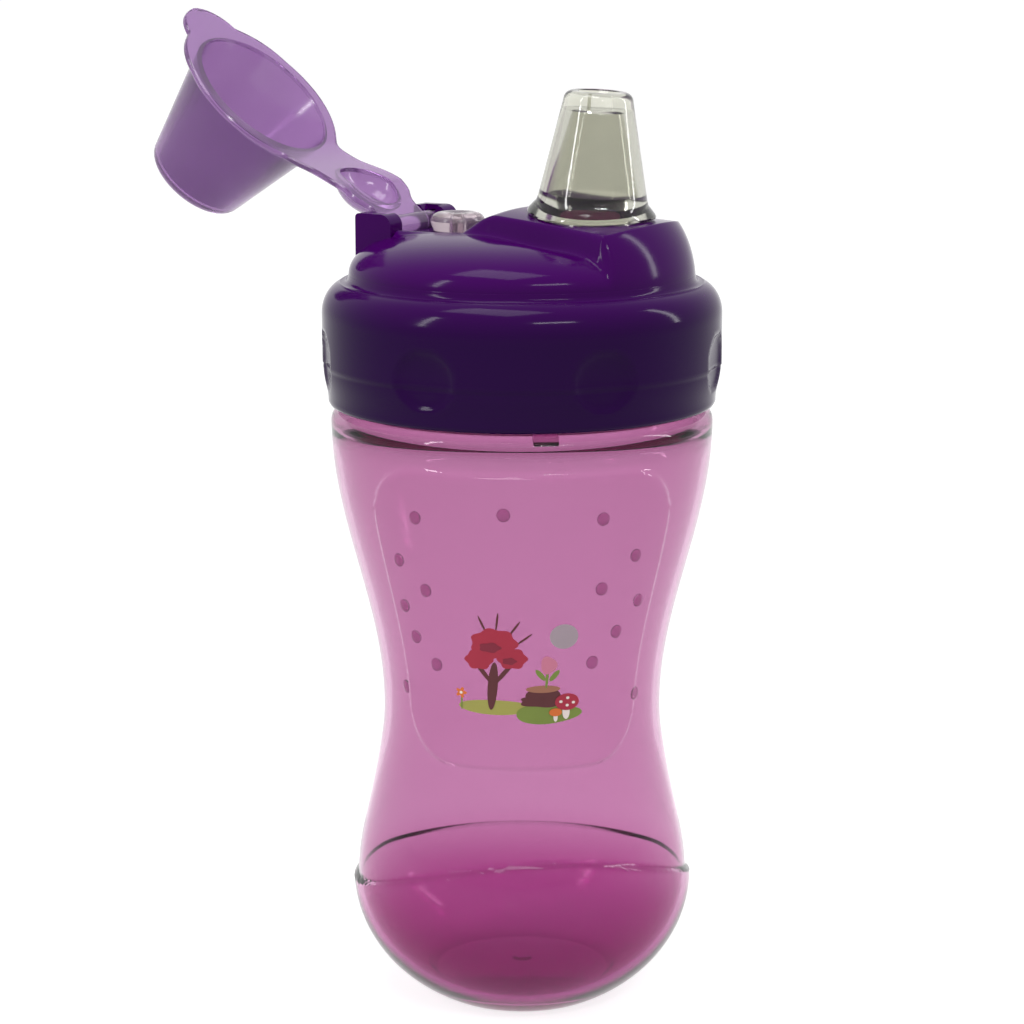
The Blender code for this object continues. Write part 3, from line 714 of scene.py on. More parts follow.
@dataclass
class Print:
    """The generic woodland print on the front of the bottle."""

    bottle: Bottle
    lift: float = 0.05 * MM
    layer_step: float = 0.03 * MM

    def wrap(self, x: float, z: float, layer: int) -> Vector:
        """Finds the place on the bottle of a point of the flat artwork."""
        azimuth = x / self.bottle.radius(z)
        radius = self.bottle.surface(azimuth, z) + self.lift + self.layer_step * layer
        return Vector((radius * sin(azimuth), -radius * cos(azimuth), z))

    def patch(
        self,
        name: str,
        centre: Point,
        half: Point,
        colour: Colour,
        layer: int,
        lobes: tuple[int, float] = (0, 0.0),
        lean: float = 0.0,
    ) -> bpy.types.Object:
        """Prints one rounded patch of ink.

        Args:
            name: Name of the patch.
            centre: Its middle on the flat artwork, in millimetres.
            half: Its half sizes, in millimetres.
            colour: Its linear colour.
            layer: Its layer, counted outwards.
            lobes: Number of lobes round its edge, and how deep they are.
            lean: How far it leans, in degrees.

        Returns:
            The new piece.
        """
        work = bmesh.new()
        bmesh.ops.create_circle(work, cap_ends=True, cap_tris=True, segments=48, radius=1.0)
        bmesh.ops.subdivide_edges(work, edges=work.edges[:], cuts=3, use_grid_fill=True)
        turn = Matrix.Rotation(radians(lean), 2)
        for vertex in work.verts:
            radius = hypot(vertex.co.x, vertex.co.y)
            swell = 1.0 + lobes[1] * cos(lobes[0] * atan2(vertex.co.y, vertex.co.x)) * radius**2
            flat = turn @ Vector((vertex.co.x * half[0] * swell, vertex.co.y * half[1] * swell))
            vertex.co = self.wrap((centre[0] + flat.x) * MM, (centre[1] + flat.y) * MM, layer)
        bmesh.ops.recalc_face_normals(work, faces=work.faces)
        if sum(face.normal.y for face in work.faces) > 0.0:
            bmesh.ops.reverse_faces(work, faces=work.faces)
        mesh = bpy.data.meshes.new(f"print_{name}")
        work.to_mesh(mesh)
        work.free()
        mesh.shade_smooth()
        made = linked(f"print_{name}", mesh)
        deliver(made, ink(name.rstrip("0123456789_"), colour), Body.CUP)
        return made

    def build(self) -> None:
        """Prints a mound with a stump, toadstools, a small tree, a bud, a flower and a plain disc."""
        green = (0.19, 0.25, 0.045)
        light_green = (0.36, 0.34, 0.08)
        bark = (0.10, 0.018, 0.022)
        stump_top = (0.36, 0.15, 0.09)
        crimson = (0.40, 0.02, 0.05)
        deep_crimson = (0.22, 0.012, 0.035)
        orange = (0.70, 0.16, 0.03)
        white = (0.85, 0.74, 0.70)
        rose = (0.62, 0.20, 0.30)
        self.patch("ground", (-5.0, 65.9), (7.0, 1.5), light_green, 0)
        self.patch("meadow", (4.8, 64.6), (6.2, 2.0), green, 1, (3, 0.06))
        self.patch("trunk_1", (-5.4, 70.3), (0.95, 4.9), bark, 2, lean=-4.0)
        self.patch("trunk_2", (-3.3, 73.0), (0.45, 3.2), bark, 2, lean=-38.0)
        self.patch("trunk_3", (-7.3, 73.2), (0.45, 3.0), bark, 2, lean=36.0)
        self.patch("leaves_1", (-5.2, 79.0), (4.3, 3.1), crimson, 3, (7, 0.07))
        self.patch("leaves_2", (-8.0, 75.6), (2.6, 2.0), crimson, 3, (6, 0.08))
        self.patch("leaves_3", (-1.8, 76.0), (2.7, 2.1), crimson, 3, (6, 0.08))
        self.patch("shade_1", (-5.9, 78.2), (2.0, 1.0), deep_crimson, 4, (5, 0.10))
        self.patch("shade_2", (-2.3, 75.5), (1.3, 0.7), deep_crimson, 4, (5, 0.10))
        twigs = ((-7.4, 83.0, 24.0), (-4.6, 83.6, -6.0), (-1.4, 82.2, -34.0), (0.4, 80.0, -52.0))
        for i, (x, z, lean) in enumerate(twigs):
            self.patch(f"twig_{i}", (x, z), (0.22, 1.9), bark, 2, lean=lean)
        self.patch("stump_foot", (3.9, 67.2), (4.3, 1.2), bark, 2, (5, 0.10))
        self.patch("stump", (3.9, 68.3), (3.3, 1.7), bark, 2)
        self.patch("stump_top", (3.9, 69.7), (3.2, 0.75), stump_top, 3)
        self.patch("bud_stem", (4.6, 72.0), (0.28, 2.2), green, 4, lean=-4.0)
        self.patch("bud", (4.9, 74.6), (1.5, 1.8), rose, 5, (3, 0.10))
        self.patch("bud_leaf_1", (3.4, 72.6), (0.5, 1.4), green, 4, lean=38.0)
        self.patch("bud_leaf_2", (6.0, 72.4), (0.5, 1.4), green, 4, lean=-40.0)
        self.patch("toadstool_stalk", (8.2, 64.9), (0.7, 1.5), white, 4)
        self.patch("toadstool_cap", (8.4, 66.9), (2.3, 1.7), crimson, 5)
        for i, (x, z) in enumerate(((7.2, 67.0), (8.5, 67.7), (9.6, 66.7), (8.4, 66.2))):
            self.patch(f"toadstool_spot_{i}", (x, z), (0.32, 0.28), white, 6)
        self.patch("button_stalk", (6.2, 63.9), (0.4, 0.9), white, 5)
        self.patch("button_cap", (6.2, 64.9), (1.2, 0.8), orange, 6)
        self.patch("flower_stem", (-11.4, 66.6), (0.18, 1.7), green, 2)
        self.patch("flower", (-11.5, 68.5), (0.9, 0.9), orange, 3, (5, 0.28))
        self.patch("flower_heart", (-11.5, 68.5), (0.3, 0.3), white, 4)
        self.patch("plain_disc", (7.8, 80.4), (2.7, 2.55), (0.42, 0.33, 0.38), 2)
        log.info("printed the front")


# ---- the lid ----


@dataclass
class LidFrame:
    """Shared places of everything that turns with the lid."""

    yaw: float = radians(-30.0)
    skirt_z: float = 120.4 * MM
    base_z: float = 145.3 * MM
    land_z: float = 142.0 * MM
    deck_z: float = 157.7 * MM
    channel_z: float = 153.0 * MM
    hinge_z: float = 153.95 * MM
    deck_tilt: float = radians(3.5)
    spout_place: float = 15.4 * MM
    vent_place: float = -14.6 * MM
    hinge_place: float = -26.4 * MM
    ear_length: float = 8.2 * MM
    ear_gap: float = 16.5 * MM
    ramp_foot: float = -10.0 * MM
    ramp_head: float = 1.0 * MM
    crown: float = 1.0 / (180.0 * MM)
    wall: float = 2.2 * MM

    def deck(self, x: float) -> float:
        """Height of the straight, gently sloping deck."""
        return self.deck_z - (x - self.spout_place) * sin(self.deck_tilt)

    def channel(self, x: float) -> float:
        """Height of the strap's floor, with its ramp up to the deck."""
        rise = ease((x - self.ramp_foot) / (self.ramp_head - self.ramp_foot))
        return self.channel_z + (self.deck(x) - self.channel_z) * rise

    def turn(self) -> Matrix:
        """From the lid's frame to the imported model's."""
        return Matrix.Rotation(self.yaw, 4, "Z")

    def spout_seat(self) -> Matrix:
        """From the spout's own frame to the lid's."""
        seat = Matrix.Translation((self.spout_place, 0.0, self.deck_z))
        return seat @ Matrix.Rotation(self.deck_tilt, 4, "Y")


@dataclass
class ScrewLid:
    """The screw lid: skirt with finger dimples, dome, raised deck, strap channel and hinge ears."""

    frame: LidFrame
    skirt_radius: float = 39.1 * MM
    bore: float = 36.6 * MM
    dome_radius: float = 33.8 * MM
    dome_height: float = 9.2 * MM
    nose: float = 16.2 * MM
    spine_half: float = 12.0 * MM
    channel_half: float = 11.0 * MM
    wall_width: float = 1.7 * MM
    scoop_depth: float = 1.3 * MM
    scoop_place: float = 12.0 * MM
    scoop_length: float = 9.0 * MM
    scoop_fade: float = 3.2 * MM
    dimples: int = 7
    dimple_first: float = radians(-118.0)
    dimple_size: tuple[float, float, float] = (6.2 * MM, 5.6 * MM, 1.2 * MM)
    dimple_rise: float = 9.3 * MM
    ear_thickness: float = 4.3 * MM
    ear_top: float = 3.0 * MM
    spout_hole: float = 9.6 * MM
    vent_hole: float = 2.6 * MM
    steps: int = 384
    rings: int = 150

    def dome(self, radius: float) -> float:
        """Height of the side dome above its foot at a radius."""
        share = min(radius / self.dome_radius, 1.0)
        up = (1.0 - share**4.2) ** 0.42 * (1.0 - 0.13 * share**2)
        return self.frame.base_z + self.dome_height * max(up, 0.05)

    def top(self, x: float, y: float) -> float:
        """Height of the lid's upper face.

        Args:
            x: Place towards the spout.
            y: Place along the hinge.

        Returns:
            The height, with the deck, its side walls and the strap's channel.
        """
        frame = self.frame
        radius = hypot(x, y)
        dome = self.dome(radius)
        reach = max(x, 0.0) / frame.spout_place
        half = self.spine_half + (1.3 * reach + 0.7 * reach * reach) * MM
        rise = ease((x - frame.ramp_foot) / (frame.ramp_head - frame.ramp_foot))
        channel = frame.channel(x)
        lip = max(frame.channel_z + 1.0 * MM, channel)
        inside = ease(0.5 + (self.channel_half - abs(y)) / (0.7 * MM))
        level = lip + (channel - lip) * inside - frame.crown * y * y * rise
        share = min(radius / self.dome_radius, 1.0)
        nose = frame.base_z + self.nose * max(1.0 - share**6.5, 0.0) ** 0.62
        spine = min(level, nose)
        scoop = self.scoop_depth * exp(-(((x - self.scoop_place) / self.scoop_length) ** 2))
        scoop *= exp(-((max(abs(y) - half, 0.0) / self.scoop_fade) ** 2))
        across = ease(0.5 + (half - abs(y)) / self.wall_width)
        start = frame.hinge_place + 0.5 * frame.ear_length
        along = ease((x - start) / (0.8 * MM)) if abs(y) > 0.5 * frame.ear_gap else 1.0
        if x < start:
            spine = min(spine, frame.hinge_z - 2.45 * MM)
            pocket = x < start + 1.0 * MM and abs(y) < 0.5 * frame.ear_gap
            return min(dome, spine) if pocket else dome
        raised = dome - scoop + (max(spine, dome - scoop) - dome + scoop) * across * along
        if abs(y) < self.channel_half and x < frame.ramp_head:
            raised = min(raised, level) if across > 0.5 else raised
        return raised

    def reshape(self, point: Vector) -> Vector:
        """Raises the dome into the deck, and presses the finger dimples into the skirt."""
        radius = hypot(point.x, point.y)
        base = self.frame.base_z
        if point.z > base - 0.1 * MM and radius < self.dome_radius + 0.05 * MM:
            return Vector((point.x, point.y, self.top(point.x, point.y)))
        wide, tall, deep = self.dimple_size
        if radius > self.bore + 1.0 * MM:
            angle = atan2(point.y, point.x) + self.frame.yaw
            for i in range(self.dimples):
                off = (angle - self.dimple_first - 2.0 * pi * i / self.dimples + pi) % (2.0 * pi) - pi
                up = point.z - self.frame.skirt_z - self.dimple_rise
                share = (off * radius / wide) ** 2 + (up / tall) ** 2
                if share < 1.0:
                    scale = 1.0 - deep * (1.0 - share) ** 0.5 / radius
                    return Vector((point.x * scale, point.y * scale, point.z))
        return point

    def shell(self) -> bpy.types.Object:
        """The skirt, the dome and the deck as one closed moulding."""
        frame = self.frame
        parting = frame.skirt_z + 7.8 * MM
        radius = self.skirt_radius
        outline = [
            (self.bore + 0.4 * MM, frame.skirt_z),
            (radius - 1.9 * MM, frame.skirt_z),
            (radius - 1.4 * MM, frame.skirt_z + 0.25 * MM),
        ]
        low = rows(frame.skirt_z + 0.8 * MM, parting - 0.05 * MM, 12)
        for z in low:
            swell = ease((z - low[0]) / (low[-1] - low[0]))
            outline.append((radius - 1.1 * MM + 0.95 * MM * swell, z))
        high = rows(parting + 0.15 * MM, frame.base_z - 7.0 * MM, 14)
        outline += [(radius, z) for z in high]
        outline += arc((radius - 4.9 * MM, frame.base_z - 7.0 * MM), (4.9 * MM, 6.1 * MM), 6.0, 74.0, 14)
        outline += [
            (self.dome_radius + 1.7 * MM, frame.base_z - 1.0 * MM),
            (self.dome_radius + 0.8 * MM, frame.base_z - 1.1 * MM),
            (self.dome_radius + 0.35 * MM, frame.base_z - 0.8 * MM),
            (self.dome_radius + 0.1 * MM, frame.base_z - 0.2 * MM),
        ]
        shares = [1.0 - (i / self.rings) ** 1.9 for i in range(self.rings)] + [0.0]
        outline += [(self.dome_radius * share, frame.base_z + 1.0 * MM) for share in shares]
        return turned("lid_outside", outline[::-1], self.steps, self.reshape)

    def lining(self) -> bpy.types.Object:
        """The lid's inner wall, from its skirt up to the middle of the dome."""
        frame = self.frame
        throat = self.dome_radius - frame.wall
        outline = [(0.0, frame.base_z + self.dome_height - frame.wall)]
        shares = (0.3, 0.6, 0.8, 0.9, 0.96)
        outline += [(throat * s, self.dome(self.dome_radius * s) - frame.wall) for s in shares]
        outline += [(throat, frame.land_z), (self.bore - 0.9 * MM, frame.land_z)]
        outline += [(self.bore, frame.land_z - 1.3 * MM), (self.bore, frame.skirt_z)]
        return turned("lid_inside", outline, 96)

    def ears(self) -> list[bpy.types.Object]:
        """The two hinge ears with their open-topped sockets."""
        frame = self.frame
        low = frame.base_z + 2.0 * MM
        top = frame.hinge_z + self.ear_top
        back = frame.hinge_place - 0.5 * frame.ear_length
        front = frame.hinge_place + 0.5 * frame.ear_length
        outline = [(back, low), (front, low)]
        outline += arc((front - 2.4 * MM, top - 2.4 * MM), (2.4 * MM, 2.4 * MM), 0.0, 90.0, 8)
        outline += arc((back + 0.8 * MM, top - 0.8 * MM), (0.8 * MM, 0.8 * MM), 90.0, 180.0, 4)
        inner = 0.5 * frame.ear_gap
        hole = arc((frame.hinge_place, frame.hinge_z), (2.0 * MM, 2.0 * MM), 0.0, 345.0, 23)
        lead = [(-1.45, 0.4), (1.45, 0.4), (1.45, 2.0), (2.55, 3.5), (-2.55, 3.5), (-1.45, 2.0)]
        guide = [(frame.hinge_place + x * MM, frame.hinge_z + z * MM) for x, z in lead]
        made = []
        for label, side in (("near", -1.0), ("far", 1.0)):
            ear = bar(f"hinge_ear_{label}", outline, side * inner, side * (inner + self.ear_thickness))
            for shape, reach in ((hole, 2.8 * MM), (guide, 2.3 * MM)):
                cutter = bar("socket", shape, side * (inner - 0.4 * MM), side * (inner + reach))
                combine(ear, cutter, Cut.REMOVE)
            softened = ear.modifiers.new("edge_round", "BEVEL")
            softened.width = 0.25 * MM
            softened.segments = 2
            softened.limit_method = "ANGLE"
            made.append(ear)
        return made

    def build(self) -> None:
        """Builds and dresses the lid's pieces."""
        work = bmesh.new()
        shell, lining = self.shell(), self.lining()
        work.from_mesh(shell.data)
        outer = len(work.faces)
        work.from_mesh(lining.data)
        work.faces.ensure_lookup_table()
        bmesh.ops.reverse_faces(work, faces=work.faces[outer:])
        bmesh.ops.bridge_loops(work, edges=[edge for edge in work.edges if edge.is_boundary])
        for used in (shell, lining):
            bpy.data.objects.remove(used, do_unlink=True)
        lid = piece_of("lid_moulding", work)
        hole = drill("spout_hole", self.spout_hole, -12.0 * MM, 6.0 * MM, 96)
        vent = drill("vent_hole", self.vent_hole, -9.0 * MM, 9.0 * MM, 48)
        seat = Matrix.Translation((self.frame.vent_place, 0.0, self.frame.channel_z))
        combine(lid, placed(hole, self.frame.spout_seat()), Cut.REMOVE, 60.0)
        combine(lid, placed(vent, seat), Cut.REMOVE, 60.0)
        start = self.frame.skirt_z - LEDGE_GAP + THREAD_RISE - THREAD_DROP
        angle = THREAD_START - self.frame.yaw
        thread = threaded("lid_thread", self.bore, self.bore - THREAD_DEPTH, start, THREAD_PITCH, angle)
        for item in [lid, thread] + self.ears():
            deliver(placed(item, self.frame.turn()), LID_PURPLE_PAINTED_SHADE_AND_SHEEN, Body.LID)
        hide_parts("lid")


@dataclass
class SoftSpout:
    """The clear soft spout with its thick, slit top."""

    frame: LidFrame
    height: float = 23.7 * MM
    foot: float = 12.4 * MM
    tip: float = 6.7 * MM
    wall: float = 1.6 * MM
    ceiling: float = 3.6 * MM
    neck: float = 9.3 * MM
    flange: float = 11.0 * MM

    def build(self) -> None:
        """Builds and dresses the spout."""
        under = -self.frame.wall - 0.5 * MM
        cap = self.height - 1.8 * MM
        side = self.foot - 1.5 * MM
        outside = [
            (self.flange, under - 1.2 * MM),
            (self.flange, under),
            (self.neck, under),
            (self.neck, 0.3 * MM),
            (self.foot - 0.2 * MM, 0.3 * MM),
            (self.foot, 0.7 * MM),
            (self.foot - 0.3 * MM, 1.25 * MM),
            (self.foot - 0.9 * MM, 1.9 * MM),
            (side - 0.15 * MM, 2.7 * MM),
            (side - 0.5 * MM, 4.0 * MM),
        ]
        taper = self.tip - side + 0.5 * MM
        for share in rows(0.1, 0.9, 8):
            height = 4.0 * MM + (cap - 4.0 * MM) * share
            outside.append((side - 0.5 * MM + taper * share, height))
        outside += arc((self.tip - 1.8 * MM, cap), (1.8 * MM, 1.8 * MM), 0.0, 90.0, 8)
        dip = [(4.1, 0.05), (3.6, 0.7), (0.0, 0.9)]
        outside += [(across * MM, self.height - down * MM) for across, down in dip]
        ceiling = self.height - self.ceiling
        inside = [
            (0.0, ceiling),
            (self.tip - self.wall - 1.2 * MM, ceiling),
            (self.tip - self.wall - 0.3 * MM, ceiling - 0.35 * MM),
            (self.tip - self.wall, ceiling - 1.2 * MM),
            (side - 0.6 * MM - self.wall, 4.2 * MM),
            (self.neck - self.wall, 1.5 * MM),
            (self.neck - self.wall, under - 1.2 * MM),
        ]

        def follow_crown(point: Vector) -> Vector:
            """Bends the spout's foot onto the crowned deck."""
            share = 1.0 - ease(point.z / (6.0 * MM))
            return Vector((point.x, point.y, point.z - self.frame.crown * point.y**2 * share))

        spout = turned("soft_spout", outside[::-1] + inside[::-1], 96, follow_crown)
        slit = block(
            "slit",
            (-0.3 * MM, -3.0 * MM, ceiling - 1.0 * MM),
            (0.3 * MM, 3.0 * MM, self.height + 1.0 * MM),
        )
        combine(spout, slit, Cut.REMOVE)
        placed(spout, self.frame.turn() @ self.frame.spout_seat())
        deliver(spout, CLEAR_SILICONE, Body.LID)
        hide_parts("spout")


@dataclass
class VentPlug:
    """The soft air vent beside the hinge."""

    frame: LidFrame
    radius: float = 5.4 * MM
    height: float = 3.9 * MM
    stem: float = 2.3 * MM

    def build(self) -> None:
        """Builds and dresses the plug."""
        base = self.frame.channel_z
        top = base + self.height
        under = base - self.frame.wall - 0.3 * MM
        outline = [(0.0, top - 0.35 * MM), (1.6 * MM, top - 0.3 * MM), (2.3 * MM, top)]
        outline += arc((self.radius - 2.1 * MM, top - 1.9 * MM), (2.1 * MM, 1.9 * MM), 88.0, 0.0, 10)
        outline += [
            (self.radius - 0.6 * MM, base + 0.3 * MM),
            (self.stem, base + 0.3 * MM),
            (self.stem, under),
            (self.stem + 1.1 * MM, under),
            (self.stem + 0.7 * MM, under - 1.0 * MM),
            (0.5 * self.stem, under - 1.0 * MM),
            (0.5 * self.stem, top - 1.2 * MM),
            (0.0, top - 1.2 * MM),
        ]
        plug = turned("vent_plug", outline, 64)
        placed(plug, self.frame.turn() @ Matrix.Translation((self.frame.vent_place, 0.0, 0.0)))
        deliver(plug, CLOUDY_SILICONE, Body.LID)
        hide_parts("vent_valve")


@dataclass
class HygieneCover:
    """The hinged cover, made shut and then swung open."""

    frame: LidFrame
    swing: float = radians(138.5)
    sheet: float = 1.3 * MM
    wall: float = 1.2 * MM
    mouth: float = 15.0 * MM
    end: float = 9.6 * MM
    rim: float = 17.7 * MM
    lobe: float = 10.4 * MM
    neck: float = 7.9 * MM
    bridge: float = 9.8 * MM
    ramp_foot: float = -15.5 * MM
    tab_reach: float = 6.0 * MM
    tab_half: float = 8.2 * MM
    dimple: float = 6.7 * MM
    dimple_lift: float = 5.0 * MM
    reach: float = 24.7 * MM
    barrel: float = 2.0 * MM
    pin: float = 1.7 * MM

    def under(self, x: float) -> float:
        """Height of the shut cover's underside."""
        frame = self.frame
        share = (x - self.ramp_foot) / (frame.ramp_head - self.ramp_foot)
        rise = 0.6 * min(max(share, 0.0), 1.0) + 0.4 * ease(share)
        return frame.channel_z + (frame.deck(x) - frame.channel_z) * rise + 0.3 * MM

    def half(self, x: float) -> float:
        """Half the cover's width: the lobe, the rim and the thumb tab run into each other."""
        frame = self.frame
        tab = frame.spout_place + self.rim + self.tab_reach - self.tab_half
        ovals = (
            (frame.vent_place, 11.0 * MM, self.lobe),
            (frame.spout_place, self.rim, self.rim + 0.3 * MM),
            (tab, self.tab_half, self.tab_half),
        )
        parts = [high * sqrt(max(1.0 - ((x - mid) / long) ** 2, 0.0)) for mid, long, high in ovals]
        middle = 0.5 * (frame.spout_place + frame.vent_place)
        bridged = ease((x - frame.vent_place) / (middle - frame.vent_place))
        parts.append(self.neck + (self.bridge - self.neck) * bridged if x < frame.spout_place else 0.0)
        power = 2.6 if x > frame.spout_place else 7.0
        blended = sum(part**power for part in parts) ** (1.0 / power)
        free = ease((x - frame.hinge_place - 0.5 * frame.ear_length - 0.3 * MM) / (4.0 * MM))
        return self.neck + (blended - self.neck) * free if x < frame.vent_place else blended

    def strap(self) -> bpy.types.Object:
        """The flat sheet of strap, rim and tab, with rounded edges."""
        count = 120
        start = self.frame.hinge_place
        stop = self.frame.spout_place + self.rim + self.tab_reach
        sections = []
        for i in range(count + 1):
            x = start + (stop - start) * (1.0 - (1.0 - i / count) ** 1.6)
            half = max(self.half(x), 1.2 * MM)
            low = self.under(x)
            high = low + self.sheet
            soft = 0.35 * MM
            sections.append(
                [
                    (x, -half + soft, low),
                    (x, half - soft, low),
                    (x, half, low + soft),
                    (x, half, high - soft),
                    (x, half - soft, high),
                    (x, -half + soft, high),
                    (x, -half, high - soft),
                    (x, -half, low + soft),
                ]
            )
        return lofted("cover_moulding", sections)

    def build(self) -> None:
        """Builds, opens and dresses the cover."""
        frame = self.frame
        cover = self.strap()
        seat = Matrix.Translation((frame.spout_place, 0.0, frame.deck_z + 0.3 * MM))
        seat = seat @ Matrix.Rotation(frame.deck_tilt, 4, "Y")
        tip = self.reach + self.wall
        turn = self.end + self.wall - 2.4 * MM
        cup = [(0.0, 0.2 * MM), (self.mouth + self.wall, 0.2 * MM)]
        cup += arc((turn, tip - 2.4 * MM), (2.4 * MM, 2.4 * MM), 12.0, 90.0, 8)
        inner = self.end - 1.8 * MM
        flare = self.mouth + 0.3 * MM
        hollow = [(0.0, -3.0 * MM), (flare, -3.0 * MM), (flare, -0.2 * MM), (self.mouth, 0.3 * MM)]
        hollow += arc((inner, self.reach - 1.8 * MM), (1.8 * MM, 1.8 * MM), 12.0, 90.0, 8)
        combine(cover, placed(turned("cup", cup + [(0.0, tip)], 128), seat), Cut.JOIN)
        combine(cover, placed(turned("hollow", hollow + [(0.0, self.reach)], 128), seat), Cut.REMOVE)
        middle = (frame.vent_place, 0.0, self.under(frame.vent_place))
        oval = (self.dimple, self.dimple - 0.3 * MM, self.dimple_lift)
        bump = ball("bump", middle, tuple(half + self.wall for half in oval))
        levels = rows(frame.vent_place - 14.0 * MM, frame.vent_place + 14.0 * MM, 60)
        deep = middle[2] - 20.0 * MM
        below = [(x, self.under(x) + 0.4 * MM) for x in levels] + [(levels[-1], deep), (levels[0], deep)]
        combine(bump, bar("below", below, -14.0 * MM, 14.0 * MM), Cut.REMOVE)
        combine(cover, bump, Cut.JOIN)
        combine(cover, ball("dent", middle, oval), Cut.REMOVE)
        axis = (frame.hinge_place, frame.hinge_z)
        for label, radius, half in (
            ("barrel", self.barrel, 0.5 * frame.ear_gap - 0.3 * MM),
            ("pin", self.pin, 0.5 * frame.ear_gap + 2.5 * MM),
        ):
            outline = arc(axis, (radius, radius), 0.0, 352.5, 47)
            combine(cover, bar(label, outline, -half, half), Cut.JOIN)
        hinge = Matrix.Translation((frame.hinge_place, 0.0, frame.hinge_z))
        opened = hinge @ Matrix.Rotation(-self.swing, 4, "Y") @ hinge.inverted()
        placed(cover, frame.turn() @ opened)
        deliver(cover, COVER_PURPLE, Body.COVER)
        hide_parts("hygiene_cover")


@dataclass
class SealRing:
    """The flat gasket under the lid, with a shallow groove moulded in each face."""

    inner: float = 31.9 * MM
    outer: float = 35.2 * MM
    low: float = 140.5 * MM
    thickness: float = 1.2 * MM

    def build(self) -> None:
        """Builds and dresses the ring."""
        high = self.low + self.thickness
        soft = 0.25 * MM
        middle = 0.5 * (self.inner + self.outer)
        face = [(self.inner + soft, 0.0)]
        face += [(middle - 0.6 * MM, 0.0), (middle, 0.2 * MM), (middle + 0.6 * MM, 0.0)]
        face += [(self.outer - soft, 0.0), (self.outer, soft)]
        outline = [(radius, self.low + depth) for radius, depth in face]
        outline += [(radius, high - depth) for radius, depth in reversed(face)]
        outline += [(self.inner, high - soft), (self.inner, self.low + soft)]
        ring = turned("gasket", outline, 128)
        deliver(ring, SEAL_SILICONE, Body.SEAL)
        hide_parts("lid_seal_ring")


# ---- the studio ----


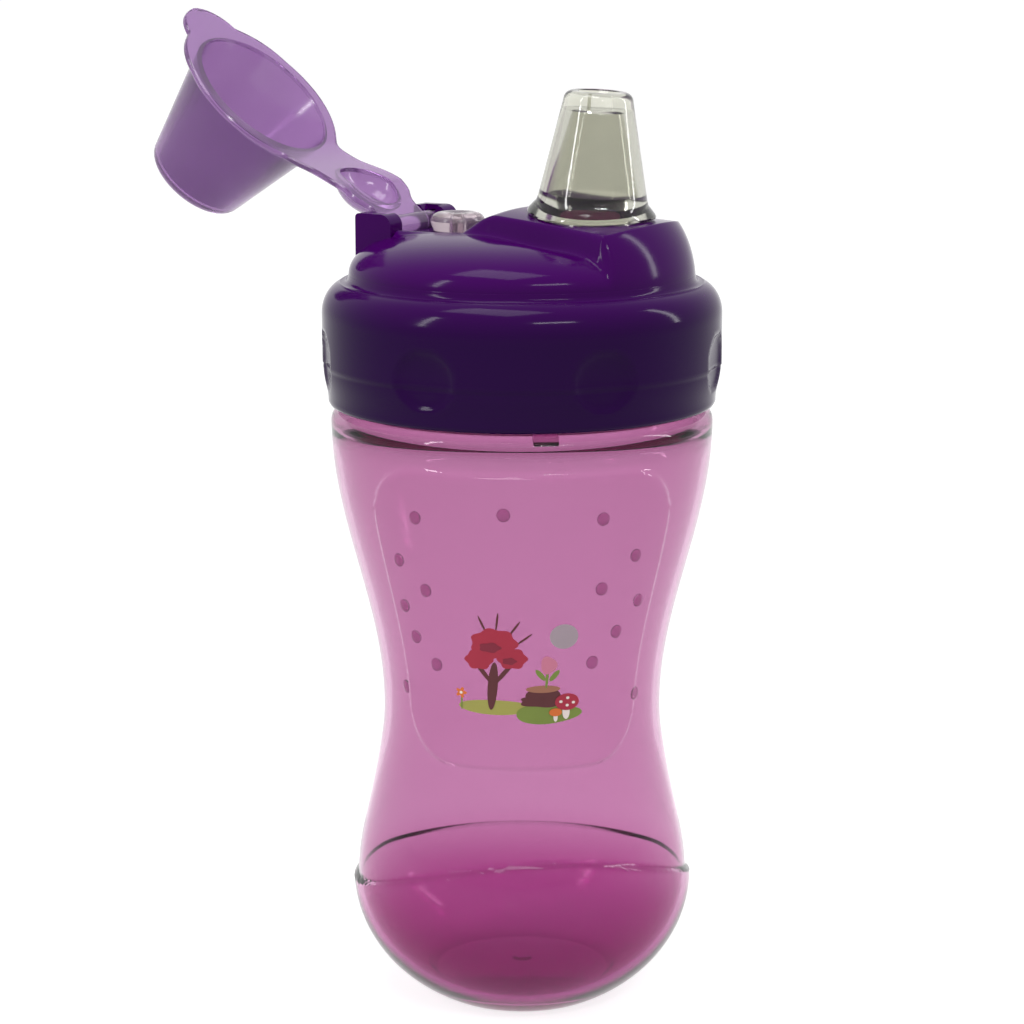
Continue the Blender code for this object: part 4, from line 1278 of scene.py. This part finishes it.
@dataclass
class Studio:
    """A white floor, plain soft lights and the camera."""

    floor_size: float = 40.0
    floor_grey: tuple[float, float, float, float] = (0.45, 0.45, 0.45, 1.0)
    floor_glow: tuple[float, float] = (0.2, 0.80)
    room_glow: tuple[float, float] = (0.50, 1.0)
    camera_place: tuple[float, float, float] = (0.0, -0.553565, 0.213556)
    camera_pitch: float = radians(11.784)
    lens: float = 100.183
    shift: float = -10.0 / 1024.0

    def white_when_seen(
        self, tree: bpy.types.ShaderNodeTree, plain: float, seen: float
    ) -> bpy.types.NodeSocket:
        """Makes a value that differs for rays that show the background.

        Args:
            tree: The tree that the nodes go into.
            plain: The value for rays that carry light.
            seen: The value for camera, glossy and transmission rays.

        Returns:
            The socket that holds the value.
        """
        path = tree.nodes.new("ShaderNodeLightPath").outputs
        either = reckon(tree, "MAXIMUM", path["Is Camera Ray"], path["Is Glossy Ray"])
        shown = reckon(tree, "MAXIMUM", either, path["Is Transmission Ray"])
        span = fill(tree.nodes.new("ShaderNodeMapRange"), {"To Min": plain, "To Max": seen})
        tree.links.new(shown, span.inputs["Value"])
        return span.outputs["Result"]

    def floor(self) -> None:
        """Lays the pale floor, which keeps the object's shadow."""
        work = bmesh.new()
        bmesh.ops.create_grid(work, x_segments=1, y_segments=1, size=0.5 * self.floor_size)
        floor = piece_of("studio_floor", work)
        made = bpy.data.materials.new("white_floor")
        made.use_nodes = True
        tree = made.node_tree
        shader = fill(
            tree.nodes["Principled BSDF"],
            {
                "Base Color": self.floor_grey,
                "Roughness": 0.9,
                "Specular IOR Level": 0.0,
                "Emission Color": (1.0, 1.0, 1.0, 1.0),
            },
        )
        glow = self.white_when_seen(tree, *self.floor_glow)
        tree.links.new(glow, shader.inputs["Emission Strength"])
        floor.data.materials.append(made)
        floor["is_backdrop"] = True

    def lamp(self, name: str, place: tuple, aim: tuple, size: tuple, power: float) -> None:
        """Hangs one soft light.

        Args:
            name: Its name.
            place: Where it hangs.
            aim: The point that it faces.
            size: Its width and height.
            power: Its power, in watts.
        """
        data = bpy.data.lights.new(name, "AREA")
        data.shape = "RECTANGLE"
        data.size, data.size_y = size
        data.energy = power
        lamp = linked(name, data)
        lamp.location = place
        lamp.rotation_euler = (Vector(aim) - Vector(place)).to_track_quat("-Z", "Y").to_euler()

    def build(self) -> None:
        """Builds the floor, the world, the lights and the camera."""
        scene = bpy.context.scene
        self.floor()
        world = bpy.data.worlds.new("white_room")
        world.use_nodes = True
        tree = world.node_tree
        back = fill(tree.nodes["Background"], {"Color": (1.0, 1.0, 1.0, 1.0)})
        tree.links.new(self.white_when_seen(tree, *self.room_glow), back.inputs["Strength"])
        scene.world = world
        self.lamp("overhead", (-0.15, -0.15, 1.05), (0.0, 0.0, 0.12), (0.55, 0.40), 5.0)
        self.lamp("front_bar", (0.32, -0.85, 0.85), (0.0, 0.0, 0.14), (0.42, 0.04), 3.2)
        self.lamp("left_bar", (-0.75, -0.45, 0.62), (0.0, 0.0, 0.13), (0.07, 0.5), 3.0)
        self.lamp("right_fill", (0.8, 0.1, 0.5), (0.0, 0.0, 0.12), (0.06, 0.6), 2.2)
        data = bpy.data.cameras.new("camera")
        data.sensor_width = 36.0
        data.lens = self.lens
        data.shift_x = self.shift
        data.clip_start = 0.01
        data.clip_end = 100.0
        camera = linked("camera", data)
        camera.location = self.camera_place
        camera.rotation_euler = (0.5 * pi - self.camera_pitch, 0.0, 0.0)
        scene.camera = camera
        scene.view_settings.view_transform = "Standard"
        log.info("lit the studio")


def corners(bounds: tuple) -> list[list[float]]:
    """Turns a pair of corner points into plain lists of numbers."""
    return [[float(value) for value in corner] for corner in bounds]


def main() -> None:
    """Loads the frame, builds each sub-assembly in order and measures the sizes before and after."""
    logging.basicConfig(level=logging.INFO, format="%(name)s: %(message)s")
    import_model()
    packed = corners(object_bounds())
    bottle = Bottle()
    frame = LidFrame()
    bottle.build()
    Print(bottle).build()
    ScrewLid(frame).build()
    SoftSpout(frame).build()
    VentPlug(frame).build()
    HygieneCover(frame).build()
    SealRing().build()
    Studio().build()
    {"cad": packed, "visual": corners(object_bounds())}


if __name__ == "__main__":
    main()
